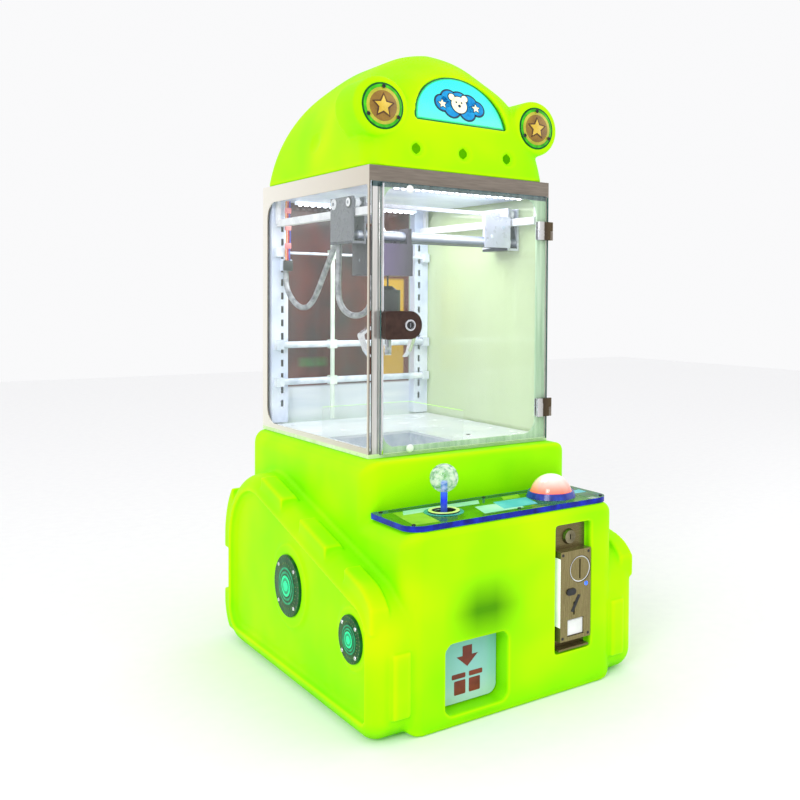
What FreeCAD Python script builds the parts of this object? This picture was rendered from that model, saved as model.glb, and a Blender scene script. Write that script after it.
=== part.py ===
import FreeCAD, Part
import math
import os
import re

from FreeCAD import Placement, Rotation, Vector

# Claw crane machine with a track-shaped base, a glass prize cabinet and a domed hood.
# X runs to the machine's right, Y to its back, Z up; the origin lies on the floor under
# the middle of the machine's outline.  All sizes are millimetres.

doc = FreeCAD.newDocument("ClawCrane")
sheet = doc.addObject("Spreadsheet::Sheet", "Sizes")

DIMENSIONS = {
    # outline
    "track_outer": 239, "body_half": 188, "body_front": -276, "body_rear": 280,
    "machine_top": 992, "deck_level": 278, "ledge_level": 357, "ledge_front": -157,
    "shell_wall": 7, "corner_round": 26,
    # track pods
    "track_front": -270, "track_rear": 271, "track_inner": 150, "track_front_top": 191,
    "track_rear_top": 338, "front_foot_round": 34, "front_top_round": 62,
    "rear_top_round": 125, "rear_foot_round": 60, "track_edge_round": 28,
    "tread_rise": 8, "tread_inner": 207, "tread_outer": 235, "front_tread_inner": 180,
    "panel_border": 28, "panel_reach": 8, "panel_depth": 11, "boss_rise": 3, "boss_spread": 1.42,
    "rear_lamp_y": 8, "rear_lamp_height": 150, "rear_lamp_radius": 47,
    "front_lamp_y": -203, "front_lamp_height": 128, "front_lamp_radius": 33, "lamp_thick": 5,
    # cabinet
    "cabinet_half": 166, "cabinet_front": -125, "cabinet_rear": 277, "cabinet_top": 787,
    "band_height": 23, "sheet_steel": 2, "glass_thick": 4, "frame_inset": 10,
    "post_wide": 30, "post_deep": 18, "slot_high": 12, "slot_wide": 5, "slot_pitch": 24,
    "slot_count": 14, "window_round": 30,
    # door
    "door_left": -149, "door_right": 161, "door_bottom": 362, "door_top": 762,
    "door_gap": 2, "clamp_wide": 22, "clamp_high": 30, "clamp_thick": 7,
    "lower_hinge": 414, "upper_hinge": 706,
    "lock_x": -108, "lock_height": 553, "lock_plate_high": 42, "lock_core_radius": 9,
    # playfield
    "floor_thick": 4, "hole_right": 0, "hole_left": -148, "hole_front": -113,
    "hole_rear": 43, "guard_high": 50, "guard_thick": 3,
    # gantry
    "rail_x": 146, "rail_side": 12, "rail_level": 718, "rail_front": -118,
    "rail_rear": 250, "bridge_y": -42, "wheel_radius": 9, "wheel_wide": 8,
    "axle_base": 60, "tube_radius": 8, "tube_level": 690, "tube_spacing": 36,
    "trolley_x": -90, "trolley_wide": 72, "trolley_high": 50, "trolley_bottom": 628,
    "claw_y": -28, "claw_radius": 20, "claw_bottom": 548, "claw_top": 612,
    "finger_reach": 48, "finger_drop": 48, "finger_thick": 3, "finger_wide": 11,
    "cord_radius": 1.5, "reel_radius": 12, "reel_wide": 14,
    # control deck
    "deck_thick": 8, "deck_half": 180, "deck_front": -272, "deck_round": 26,
    "stick_x": -92, "stick_y": -215, "stick_radius": 5, "ball_height": 331,
    "ball_radius": 21, "stick_ring": 23, "button_x": 103, "button_y": -217,
    "button_radius": 33, "bezel_radius": 39,
    # coin mechanism
    "coin_left": 68, "coin_right": 134, "coin_bottom": 62, "coin_top": 252,
    "coin_plane": -262, "acceptor_left": 74, "acceptor_bottom": 78, "acceptor_top": 214,
    "acceptor_front": -279, "coin_lock_x": 102, "coin_lock_height": 232,
    # prize outlet
    "outlet_left": -125, "outlet_right": -19, "outlet_bottom": 16, "outlet_top": 117,
    "outlet_depth": 30, "outlet_round": 14, "flap_thick": 3,
    # hood
    "hood_half": 165, "hood_front": -124, "hood_rear": 276, "lamp_x": 142,
    "lamp_height": 875, "lamp_pod_radius": 45, "star_lamp_radius": 34,
    "marquee_half": 85, "marquee_bottom": 862, "marquee_top": 944, "marquee_lean": 17,
    "marquee_plane": -108,
    # gantry conduit
    "conduit_radius": 4.8,
}
for row, (name, value) in enumerate(DIMENSIONS.items(), start=1):
    sheet.set(f"A{row}", name)
    sheet.set(f"B{row}", str(value))
    sheet.setAlias(f"B{row}", name)
doc.recompute()

ALIAS = re.compile(r"\b(" + "|".join(sorted(DIMENSIONS, key=len, reverse=True)) + r")\b")
nodes = []


def size(name):
    """A driving dimension, read back from the sheet."""
    return float(sheet.get(name))


def formula(text):
    """An expression on the sheet's cells, from plain dimension names."""
    return ALIAS.sub(r"Sizes.\1", str(text))


def keep(item, label):
    """Give a finished sub-part its own label and list it for export."""
    item.Label = label
    nodes.append(item)
    return item


def place(item, x=0, y=0, z=0):
    item.setExpression("Placement.Base.x", formula(x))
    item.setExpression("Placement.Base.y", formula(y))
    item.setExpression("Placement.Base.z", formula(z))
    return item


def box(name, x, y, z):
    """A box between two bounds along each axis; every bound is an expression."""
    item = doc.addObject("Part::Box", name)
    item.setExpression("Length", formula(f"({x[1]}) - ({x[0]})"))
    item.setExpression("Width", formula(f"({y[1]}) - ({y[0]})"))
    item.setExpression("Height", formula(f"({z[1]}) - ({z[0]})"))
    return place(item, x[0], y[0], z[0])


TURNS = {"x": Rotation(Vector(0, 1, 0), 90), "y": Rotation(Vector(1, 0, 0), -90),
         "z": Rotation()}


def rod(name, radius, length, start, axis="z"):
    """A cylinder of the given radius and length from a start point along an axis."""
    item = doc.addObject("Part::Cylinder", name)
    item.setExpression("Radius", formula(radius))
    item.setExpression("Height", formula(length))
    item.Placement = Placement(Vector(), TURNS[axis])
    return place(item, *start)


def fuse(name, *items):
    item = doc.addObject("Part::MultiFuse", name)
    item.Shapes = list(items)
    return item


def cut(name, base, *tools):
    item = doc.addObject("Part::Cut", name)
    item.Base = base
    item.Tool = tools[0] if len(tools) == 1 else fuse(name + "_tools", *tools)
    return item


def solid_feature(name, shape):
    """A sub-part whose shape is built from the sheet's sizes by Part's own functions."""
    item = doc.addObject("Part::Feature", name)
    item.Shape = shape
    return item


def rounded_outline(corners):
    """A closed wire in its own (u, v) plane from corners of (u, v, radius)."""
    count = len(corners)
    edges = []
    joints = []
    for index, (u, v, radius) in enumerate(corners):
        here = Vector(u, v, 0)
        before = Vector(*corners[index - 1][:2], 0)
        after = Vector(*corners[(index + 1) % count][:2], 0)
        back = (before - here).normalize()
        ahead = (after - here).normalize()
        if radius <= 0:
            joints.append((here, None, here))
            continue
        half_angle = back.getAngle(ahead) / 2
        reach = radius / math.tan(half_angle)
        middle = (back + ahead).normalize()
        centre = here + middle * (radius / math.sin(half_angle))
        joints.append((here + back * reach, centre - middle * radius, here + ahead * reach))
    for index, (start, middle, end) in enumerate(joints):
        if middle is not None:
            edges.append(Part.Arc(start, middle, end).toShape())
        following = joints[(index + 1) % count][0]
        if end.distanceToPoint(following) > 1e-6:
            edges.append(Part.LineSegment(end, following).toShape())
    return Part.Wire(edges)


# Frames that carry an outline's (u, v) plane to the machine's planes.
SIDE_PLANE = Rotation(Vector(0, 1, 0), Vector(0, 0, 1), Vector(1, 0, 0))
FRONT_PLANE = Rotation(Vector(1, 0, 0), Vector(0, 0, 1), Vector(0, -1, 0))


def extruded(wire, turn, base, length):
    """The outline pushed along its plane's normal from a base point."""
    face = Part.Face(wire)
    slab = face.extrude(Vector(0, 0, length))
    slab.Placement = Placement(base, turn)
    return slab


def side_slab(corners, x_start, x_end):
    """A solid whose (y, z) outline is pushed from one x to another."""
    return extruded(rounded_outline(corners), SIDE_PLANE, Vector(x_start, 0, 0), x_end - x_start)


def front_slab(corners, y_front, y_back):
    """A solid whose (x, z) outline is pushed from its back to its front."""
    return extruded(rounded_outline(corners), FRONT_PLANE, Vector(0, y_back, 0), y_back - y_front)


def rectangle(u_low, u_high, v_low, v_high, radius):
    return [(u_low, v_low, radius), (u_high, v_low, radius),
            (u_high, v_high, radius), (u_low, v_high, radius)]


def simple_box(x, y, z):
    return Part.makeBox(x[1] - x[0], y[1] - y[0], z[1] - z[0], Vector(x[0], y[0], z[0]))


def round_box(x, y, z, radius):
    """A box whose upright edges are rounded."""
    block = simple_box(x, y, z)
    uprights = [edge for edge in block.Edges if edge.BoundBox.ZLength > 0.5 * (z[1] - z[0])]
    return block.makeFillet(radius, uprights)


def simple_rod(radius, start, direction, length):
    return Part.makeCylinder(radius, length, start, direction)


def mirrored(shape):
    return shape.mirror(Vector(), Vector(1, 0, 0))


# ---------------------------------------------------------------- moulded base shell

def track_outline(grow):
    """The rounded-triangle side outline of a track pod, grown or shrunk all round."""
    front = size("track_front") - grow
    rear = size("track_rear") + grow
    slope = (size("track_rear_top") - size("track_front_top")) \
        / (size("track_rear") - size("track_front"))
    lift = grow * math.sqrt(1 + slope * slope)
    floor_level = -grow if grow < 0 else 0
    return [(front, floor_level, size("front_foot_round") + grow),
            (rear, floor_level, size("rear_foot_round") + grow),
            (rear, size("track_rear_top") + lift + slope * grow, size("rear_top_round") + grow),
            (front, size("track_front_top") + lift - slope * grow,
             size("front_top_round") + grow)]


def long_edges(shape, x_value):
    """Edges of a slab that lie in the plane x = x_value."""
    return [edge for edge in shape.Edges
            if abs(edge.BoundBox.XMin - x_value) < 0.01 and abs(edge.BoundBox.XMax - x_value) < 0.01]


def tread_strip(inner, outer):
    """A strip all round the pod, raised above the belt between two distances from the middle."""
    strip = side_slab(track_outline(size("tread_rise")), inner, outer)
    return strip.makeFillet(3, long_edges(strip, outer) + long_edges(strip, inner))


def track_treads():
    """Raised tread pads at their stations round the pod."""
    edge_strip = tread_strip(size("tread_inner"), size("tread_outer"))
    front_strip = tread_strip(size("front_tread_inner"), size("tread_inner"))
    far = size("track_outer")
    stations = [(edge_strip, (30, 112), (230, 330)), (edge_strip, (-126, -38), (180, 300)),
                (edge_strip, (-266, -186), (150, 300)), (front_strip, (-290, -240), (33, 121)),
                (edge_strip, (240, 290), (155, 262)), (edge_strip, (230, 290), (18, 82))]
    pads = []
    for strip, (y_low, y_high), (z_low, z_high) in stations:
        window = simple_box((0, far), (y_low, y_high), (z_low, z_high))
        pads.append(strip.common(window))
    return pads


def lamp_places():
    """Lamp centre and radius for the rear and front lamps of a pod."""
    return [(size("rear_lamp_y"), size("rear_lamp_height"), size("rear_lamp_radius")),
            (size("front_lamp_y"), size("front_lamp_height"), size("front_lamp_radius"))]


def track_pod():
    """One right-hand pod: belt, treads, recessed side panel and raised lamp seats."""
    outer = size("track_outer")
    pod = side_slab(track_outline(0), size("track_inner"), outer)
    pod = pod.makeFillet(size("track_edge_round"), long_edges(pod, outer))
    pod = pod.multiFuse(track_treads())
    panel_face = outer - size("panel_depth")
    outline = track_outline(-size("panel_border"))
    front = outline[0][0]
    outline = [(y - size("panel_reach") if y == front else y, z, bend) for y, z, bend in outline]
    recess = side_slab(outline, panel_face, outer + 1)
    recess = recess.makeFillet(6, long_edges(recess, panel_face))
    pod = pod.cut(recess)
    for y, z, radius in lamp_places():
        spread = radius * size("boss_spread")
        rise = size("boss_rise")
        pod = pod.fuse(Part.makeCone(spread, spread - rise, rise, Vector(panel_face, y, z),
                                     Vector(1, 0, 0)))
    return pod


def base_cavity():
    """The hollow inside the moulded body, above its floor and below its deck."""
    wall = size("shell_wall")
    half = size("body_half") - wall
    rear = size("body_rear") - wall
    bend = size("corner_round") - wall
    lower = round_box((-half, half), (size("body_front") + wall, rear),
                      (wall, size("deck_level") - wall), bend)
    upper = round_box((-half, half), (size("ledge_front") + wall, rear),
                      (wall, size("ledge_level") - wall), bend)
    side = side_slab(track_outline(-wall), half - 2, size("track_outer") - 30)
    surround = simple_box((size("hole_left") - 4, size("hole_right") + 4),
                          (size("body_front"), size("body_front") + 40),
                          (0, size("outlet_top") + 10))
    return lower.multiFuse([upper, side, mirrored(side)]).cut(surround)


def moulded_body():
    """The one-piece lime base: block, ledge, two track pods and every opening."""
    half = size("body_half")
    front = size("body_front")
    rear = size("body_rear")
    round_off = size("corner_round")
    block = side_slab([(front, 0, 3), (rear, 0, 3), (rear, size("ledge_level"), 8),
                       (size("ledge_front"), size("ledge_level"), 5),
                       (size("ledge_front"), size("deck_level"), 0),
                       (front, size("deck_level"), 10)], -half, half)
    uprights = [edge for edge in block.Edges if edge.BoundBox.ZLength > 30
                and edge.BoundBox.XLength < 0.01 and edge.BoundBox.YLength < 0.01]
    block = block.makeFillet(round_off, uprights)
    pod = track_pod()
    body = block.multiFuse([pod, mirrored(pod)])
    body = body.cut(base_cavity())
    outlet = front_slab(rectangle(size("outlet_left"), size("outlet_right"),
                                  size("outlet_bottom"), size("outlet_top"),
                                  size("outlet_round")), front - 5, front + 60)
    coin_bay = front_slab(rectangle(size("coin_left") - 2, size("coin_right") + 2,
                                    size("coin_bottom") - 2, size("coin_top") + 2, 4),
                          front - 5, size("coin_plane") + 2)
    coin_throat = front_slab(rectangle(size("coin_left") + 4, size("coin_right") - 4,
                                       size("coin_bottom") + 4, size("coin_top") - 4, 2),
                             size("coin_plane"), size("coin_plane") + 20)
    coin_surround = simple_box((size("coin_left") - 9, size("coin_right") + 9),
                               (front + 2, size("coin_plane") + 9),
                               (size("coin_bottom") - 9, size("coin_top") + 9))
    body = body.fuse(coin_surround)
    hatch = simple_box((-size("cabinet_half") + 13, size("cabinet_half") - 13),
                       (size("cabinet_front") + 10, size("cabinet_rear") - 40),
                       (size("ledge_level") - 20, size("ledge_level") + 5))
    service = simple_box((-110, 110), (rear - 20, rear + 5), (70, 290))
    stick_hole = simple_rod(size("stick_ring") - 3, Vector(size("stick_x"), size("stick_y"), 250),
                            Vector(0, 0, 1), 60)
    button_hole = simple_rod(size("button_radius") - 9,
                             Vector(size("button_x"), size("button_y"), 250), Vector(0, 0, 1), 60)
    inlet_hole = simple_box((130.3, 157.7), (rear - 20, rear + 5), (60.3, 79.7))
    flap_bore = simple_rod(2.56, Vector(size("outlet_left") - 4, front + size("outlet_depth"),
                                        size("outlet_top") - 5), Vector(1, 0, 0),
                           size("outlet_right") - size("outlet_left") + 8)
    for opening in (outlet, coin_bay, coin_throat, hatch, service, stick_hole, button_hole,
                    inlet_hole, flap_bore):
        body = body.cut(opening)
    for side in (-1, 1):
        for y, z, radius in lamp_places():
            seat_x = size("track_outer") - size("panel_depth") + size("boss_rise")
            seat = simple_rod(radius - 8, Vector(side * (seat_x + 4), y, z),
                              Vector(-side, 0, 0), 40)
            body = body.cut(seat)
    return body.removeSplitter()


def track_lamps():
    """Round lenses seated on the bosses of the pod panels, with their screws."""
    screws = []
    seat = size("track_outer") - size("panel_depth") + size("boss_rise")
    for side, hand in ((-1, "left"), (1, "right")):
        for place_name, (y, z, radius) in zip(("rear", "front"), lamp_places()):
            turn = Vector(side, 0, 0)
            lens = simple_rod(radius, Vector(side * seat, y, z), turn, size("lamp_thick") - 1)
            crown = Part.makeCone(radius * 0.62, radius * 0.5, 2,
                                  Vector(side * (seat + size("lamp_thick") - 1), y, z), turn)
            shape = lens.fuse(crown)
            for step in range(4):
                angle = math.radians(45 + 90 * step)
                spot = Vector(side * seat, y + 0.84 * radius * math.cos(angle),
                              z + 0.84 * radius * math.sin(angle))
                shape = shape.cut(simple_rod(1.6, spot - turn, turn, 12))
                shank = simple_rod(1.5, spot, turn, size("lamp_thick") - 1)
                head = simple_rod(3, spot + turn * (size("lamp_thick") - 1), turn, 1.6)
                screws.append(shank.fuse(head))
            keep(solid_feature(f"TrackLamp{hand}{place_name}", shape),
                 f"track_lamp_{hand}_{place_name}")
    return screws


# Hanging conduits: points chosen along their loops, end to end.
LONG_ROUTE = [(-137, 244.5, 640), (-137, 244.5, 621), (-135.5, 239, 603), (-132, 226, 588),
              (-128, 210, 577), (-125, 192, 574), (-122, 174, 580), (-120, 158, 594),
              (-119, 142, 614), (-118.5, 124, 636), (-119.5, 104, 656), (-122, 83, 674),
              (-125, 64, 686), (-127, 46, 692), (-127, 30, 692)]
SHORT_ROUTE = [(-146, 14, 676), (-146, 14, 654), (-147, 15.5, 620), (-146, 14, 584.3),
               (-137.8, -3.5, 565), (-126.2, -28.5, 565), (-118, -46, 584.3), (-118, -46, 628)]


# ---------------------------------------------------------------- cabinet

def slotted_post(side):
    """A rear corner post with its column of shelf slots."""
    inner = size("cabinet_half") - size("sheet_steel") - size("glass_thick") - size("post_wide")
    rear = size("cabinet_rear") - 8
    post = simple_box((inner, inner + size("post_wide")), (rear - size("post_deep"), rear),
                      (size("ledge_level") + 12, size("cabinet_top") - size("band_height")))
    channel = simple_box((inner + 2, inner + size("post_wide") - 2),
                         (rear - size("post_deep") + 2, rear + 1),
                         (size("ledge_level") + 11, size("cabinet_top")))
    post = post.cut(channel)
    for index in range(int(size("slot_count"))):
        level = size("ledge_level") + 40 + index * size("slot_pitch")
        slot = simple_box((inner + 8, inner + 8 + size("slot_wide")),
                          (rear - size("post_deep") - 1, rear - size("post_deep") + 3),
                          (level, level + size("slot_high")))
        post = post.cut(slot)
    if side > 0:
        return post
    socket = simple_box((-146, -128), (rear - size("post_deep") - 13, rear - size("post_deep")),
                        (LONG_ROUTE[0][2], LONG_ROUTE[0][2] + 20))
    return mirrored(post).fuse(socket)


def window_frame(corners_out, window, thickness, start):
    """A sheet frame on a side wall: its outline with a rounded window cut out."""
    frame = side_slab(corners_out, start, start + thickness)
    return frame.cut(side_slab(window, start - 1, start + thickness + 1))


def fixed_hinge(level):
    """A hinge leaf on the right side frame with the lower knuckle the door turns on."""
    half = size("cabinet_half")
    front = size("cabinet_front")
    low = level - size("clamp_high") / 2
    high = size("clamp_high") / 2 - 0.5
    door_face = front - size("door_gap") - size("glass_thick") - 1
    leaf = simple_box((half, half + 3), (door_face, front + 22), (low, low + high))
    return leaf.fuse(simple_rod(3.5, Vector(half, door_face, low), Vector(0, 0, 1), high))


def cabinet_parts():
    top = size("cabinet_top")
    under = top - size("band_height")
    ledge = size("ledge_level")
    half = size("cabinet_half")
    front = size("cabinet_front")
    rear = size("cabinet_rear")
    steel = size("sheet_steel")
    glass = size("glass_thick")

    band = box("Band", ("-cabinet_half", "cabinet_half"), ("cabinet_front", "cabinet_rear"),
               ("cabinet_top - band_height", "cabinet_top"))
    well = box("BandWell", ("-cabinet_half + sheet_steel", "cabinet_half - sheet_steel"),
               ("cabinet_front + sheet_steel", "cabinet_rear - sheet_steel"),
               ("cabinet_top - band_height + sheet_steel", "cabinet_top + 1"))
    keep(cut("TopFrame", band, well), "cabinet_top_frame")

    sill = box("Sill", ("-cabinet_half", "cabinet_half"), ("cabinet_front", "cabinet_rear"),
               ("ledge_level", "ledge_level + 6"))
    hatch = box("SillHatch", ("-cabinet_half + frame_inset", "cabinet_half - frame_inset"),
                ("cabinet_front + frame_inset", "cabinet_rear - 44"),
                ("ledge_level - 1", "ledge_level + 7"))
    keep(cut("BottomFrame", sill, hatch), "cabinet_bottom_frame")

    for side, hand in ((-1, "left"), (1, "right")):
        frame = window_frame(rectangle(front, rear, ledge + 6, under, 0),
                             [(front + 5, ledge + 14, 5), (rear - 20, ledge + 14, size("window_round")),
                              (rear - 20, under - 5, size("window_round")), (front + 5, under - 5, 5)],
                             steel, half - steel)
        pane = side_slab(rectangle(front + 8, rear - 10, ledge + 6.2, under - 0.2, 0),
                         half - steel - glass, half - steel)
        if side < 0:
            frame = mirrored(frame)
        else:
            frame = frame.multiFuse([fixed_hinge(size("lower_hinge")), fixed_hinge(size("upper_hinge"))])
        keep(solid_feature(f"SideFrame{hand}", frame), f"side_frame_{hand}")
        keep(solid_feature(f"SideGlass{hand}", pane if side > 0 else mirrored(pane)),
             f"side_glass_{hand}")
        keep(solid_feature(f"RearPost{hand}", slotted_post(side)), f"rear_post_{hand}")

    window = front_slab(rectangle(-142, 142, ledge + 14, under - 7, 22), front - 5, front + 20)
    surround = simple_box((-half + steel + glass, half - steel - glass), (front, front + 4),
                          (ledge + 6, under))
    keep(solid_feature("FrontFrame", surround.cut(window)), "front_frame")

    keep(box("BackMirror", ("-cabinet_half + sheet_steel", "cabinet_half - sheet_steel"),
             ("cabinet_rear - 8", "cabinet_rear"), ("ledge_level + 6", "cabinet_top - band_height")),
         "back_mirror")


def back_rails():
    """Cross bars between the rear posts, their clamp blocks and the upright light pole."""
    span = size("cabinet_half") - size("sheet_steel") - size("glass_thick") - 4
    y = size("cabinet_rear") - 8 - size("post_deep") - 7
    items = []
    for level, radius in ((672, 2.5), (508, 6), (442, 6)):
        bar = simple_rod(radius, Vector(-span, y, level), Vector(1, 0, 0), 2 * span)
        for x in (-span, -54, span - 14):
            block = simple_box((x, x + 14), (y - 6, y + 7), (level - 8, level + 8))
            bar = bar.fuse(block)
        items.append(bar)
    pole = simple_rod(4, Vector(-47, y, size("ledge_level") + 14), Vector(0, 0, 1), 320)
    rack = items[0].multiFuse(items[1:] + [pole])
    keep(solid_feature("BackRails", rack), "back_rails")


def playfield_parts():
    ledge = "ledge_level + 6"
    top = "ledge_level + 6 + floor_thick"
    inner = "cabinet_half - sheet_steel - glass_thick"
    plate = box("Playfield", (f"-({inner}) + 0.5", f"{inner} - 0.5"),
                ("cabinet_front + 4.5", "cabinet_rear - 26.5"), (ledge, top))
    hole = box("PrizeHole", ("hole_left", "hole_right"), ("hole_front", "hole_rear"),
               ("ledge_level", "ledge_level + 20"))
    keep(cut("PrizeFloor", plate, hole), "prize_floor")
    across = box("GuardAcross", (f"-({inner}) + 1", "hole_right + guard_thick"),
                 ("hole_rear", "hole_rear + guard_thick"), (top, f"{top} + guard_high"))
    along = box("GuardAlong", ("hole_right", "hole_right + guard_thick"),
                ("cabinet_front + 5", "hole_rear + 1"), (top, f"{top} + guard_high"))
    keep(fuse("ChuteGuard", across, along), "chute_guard")


def prize_chute():
    """The sloping sheet duct from the prize hole down to the outlet flap."""
    left, right = size("hole_left"), size("hole_right")
    front, rear = size("hole_front"), size("hole_rear")
    floor = size("outlet_bottom")
    mouth = size("body_front") + 40.5
    top = size("ledge_level") + 5.9
    wall = 1.5
    outer = [(front - wall, top, 0), (rear + wall, top, 0), (rear + wall, 210, 0),
             (-150, floor - wall, 0), (mouth, floor - wall, 0), (mouth, 122, 0), (-190, 122, 0),
             (front - wall, 240, 0)]
    inner = [(front, top + 1, 0), (rear, top + 1, 0), (rear, 210.6, 0), (-150.6, floor, 0),
             (mouth - 1, floor, 0), (mouth - 1, 122 - wall, 0), (-189.2, 122 - wall, 0),
             (front, 240.4, 0)]
    duct = side_slab(outer, left - wall, right + wall).cut(side_slab(inner, left, right))
    keep(solid_feature("PrizeChute", duct), "prize_chute")


# ---------------------------------------------------------------- door

def door_parts():
    front = "cabinet_front - door_gap - glass_thick"
    back = "cabinet_front - door_gap"
    keep(box("DoorGlass", ("door_left", "door_right"), (front, back), ("door_bottom", "door_top")),
         "door_glass")
    clamps = []
    for name, level in (("Lower", "lower_hinge"), ("Upper", "upper_hinge")):
        for face, y in (("Out", (f"{front} - clamp_thick + 2", front)), ("In", (back, f"{back} + 1.4"))):
            clamps.append(box(f"Clamp{name}{face}", ("door_right - clamp_wide", "door_right + 1"), y,
                              (f"{level} - clamp_high / 2", f"{level} + clamp_high / 2")))
        clamps.append(box(f"ClampEdge{name}", ("door_right", "door_right + 1"),
                          (front, back),
                          (f"{level} - clamp_high / 2", f"{level} + clamp_high / 2")))
        clamps.append(rod(f"Knuckle{name}", 3.5, "clamp_high / 2",
                          ("cabinet_half", f"{front} - 1", level)))
        clamps.append(box(f"Web{name}", ("door_right - 1", "cabinet_half"),
                          (f"{front} - 4", f"{front} - 1"), (level, f"{level} + clamp_high / 2")))
    keep(fuse("DoorClamps", *clamps), "door_hinge_clamps")


def lock_plate():
    """A D-shaped plate clamped on the door's edge that carries the cam lock."""
    front = size("cabinet_front") - size("door_gap") - size("glass_thick")
    x = size("lock_x")
    z = size("lock_height")
    half = size("lock_plate_high") / 2
    left = size("door_left") + 1
    plate = front_slab([(left, z - half, 4), (x + half, z - half, half - 0.5),
                        (x + half, z + half, half - 0.5), (left, z + half, 4)], front - 12, front)
    bore = simple_rod(size("lock_core_radius") + 0.05, Vector(x, front + 0.5, z), Vector(0, -1, 0), 14)
    keep(solid_feature("DoorLockPlate", plate.cut(bore)), "door_lock_plate")
    core = simple_rod(size("lock_core_radius"), Vector(x, front - 1, z), Vector(0, -1, 0), 14)
    key_slot = simple_box((x - 1, x + 1), (front - 16, front - 9), (z - 5, z + 5))
    keep(solid_feature("DoorLockCore", core.cut(key_slot)), "door_lock_core")


# ---------------------------------------------------------------- gantry and claw

def gantry_rails():
    for side, hand in ((-1, "left"), (1, "right")):
        bar = box(f"Rail{hand}", (f"{side} * rail_x - rail_side / 2", f"{side} * rail_x + rail_side / 2"),
                  ("rail_front", "rail_rear"), ("rail_level", "rail_level + rail_side"))
        hangers = [box(f"Hanger{hand}{index}", (f"{side} * rail_x - 3 + {side} * 5", f"{side} * rail_x + 3 + {side} * 5"),
                       (y, f"{y} + 10"), ("rail_level + 4", "cabinet_top - band_height"))
                   for index, y in enumerate(("rail_front", "rail_rear - 10"))]
        keep(fuse(f"GantryRail{hand}", bar, *hangers), f"gantry_rail_{hand}")


def wheel_on_axle(side, y, axle_radius):
    """A flat-tyred wheel on its axle, standing on one gantry rail."""
    outward = Vector(side, 0, 0)
    level = size("rail_level") + size("rail_side") + size("wheel_radius")
    axle = simple_rod(axle_radius, Vector(side * (size("rail_x") - 11.5), y, level), outward, 22)
    tread = simple_rod(size("wheel_radius") - 0.2,
                       Vector(side * (size("rail_x") - size("wheel_wide") / 2), y, level),
                       outward, size("wheel_wide"))
    return axle.fuse(tread)


def bridge_parts():
    """The bridge that runs front to back: two cross tubes, end plates and its motor."""
    y0 = size("bridge_y")
    level = size("tube_level")
    rail = size("rail_x")
    reach = rail - 2
    gap = size("tube_spacing")
    tubes = [simple_rod(size("tube_radius"), Vector(-reach, y0 + shift, level), Vector(1, 0, 0), 2 * reach)
             for shift in (0, gap)]
    tie = simple_box((-reach, reach), (y0 + 14, y0 + 22), (736, 742))
    plates = []
    for side in (-1, 1):
        x = side * (rail + 8)
        outer = (min(x, side * (rail + 11)), max(x, side * (rail + 11)))
        plates.append(simple_box(outer, (y0 - 12, y0 + size("axle_base") + 4), (676, 748)))
        inner_x = sorted((side * (rail - 12), side * (rail - 9)))
        plates.append(simple_box(inner_x, (y0 - 12, y0 + size("axle_base") + 4), (676, 748)))
        lower_x = sorted((side * (rail - 12), side * (rail + 11)))
        plates.append(simple_box(lower_x, (y0 - 12, y0 + size("axle_base") + 4), (676, 680)))
    face = simple_box((rail - 62, rail - 10), (y0 - 17, y0 - 14), (680, 732))
    face_foot = simple_box((rail - 14, rail - 10), (y0 - 17, y0 - 11), (680, 732))
    connector = simple_box((-rail + 9, -rail + 29), (y0 + 58, y0 + 72), (682, 702))
    motor = simple_rod(12, Vector(-rail + 14, y0 + 30, 722), Vector(1, 0, 0), 34)
    gearbox = simple_box((-rail + 11, -rail + 22), (y0 + 16, y0 + 44), (708, 736))
    frame = tubes[0].multiFuse([tubes[1], tie, face, face_foot, connector, motor, gearbox] + plates)
    rear_y = y0 + size("axle_base") - 8
    front_pair = []
    for side in (-1, 1):
        frame = frame.cut(wheel_on_axle(side, y0, 3.05))
        front_pair.append(wheel_on_axle(side, y0, 3))
        frame = frame.fuse(wheel_on_axle(side, rear_y, 3))
    keep(solid_feature("BridgeWheels", Part.makeCompound(front_pair)), "bridge_wheels")
    keep(solid_feature("BridgeFrame", frame), "bridge_frame")


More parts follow.
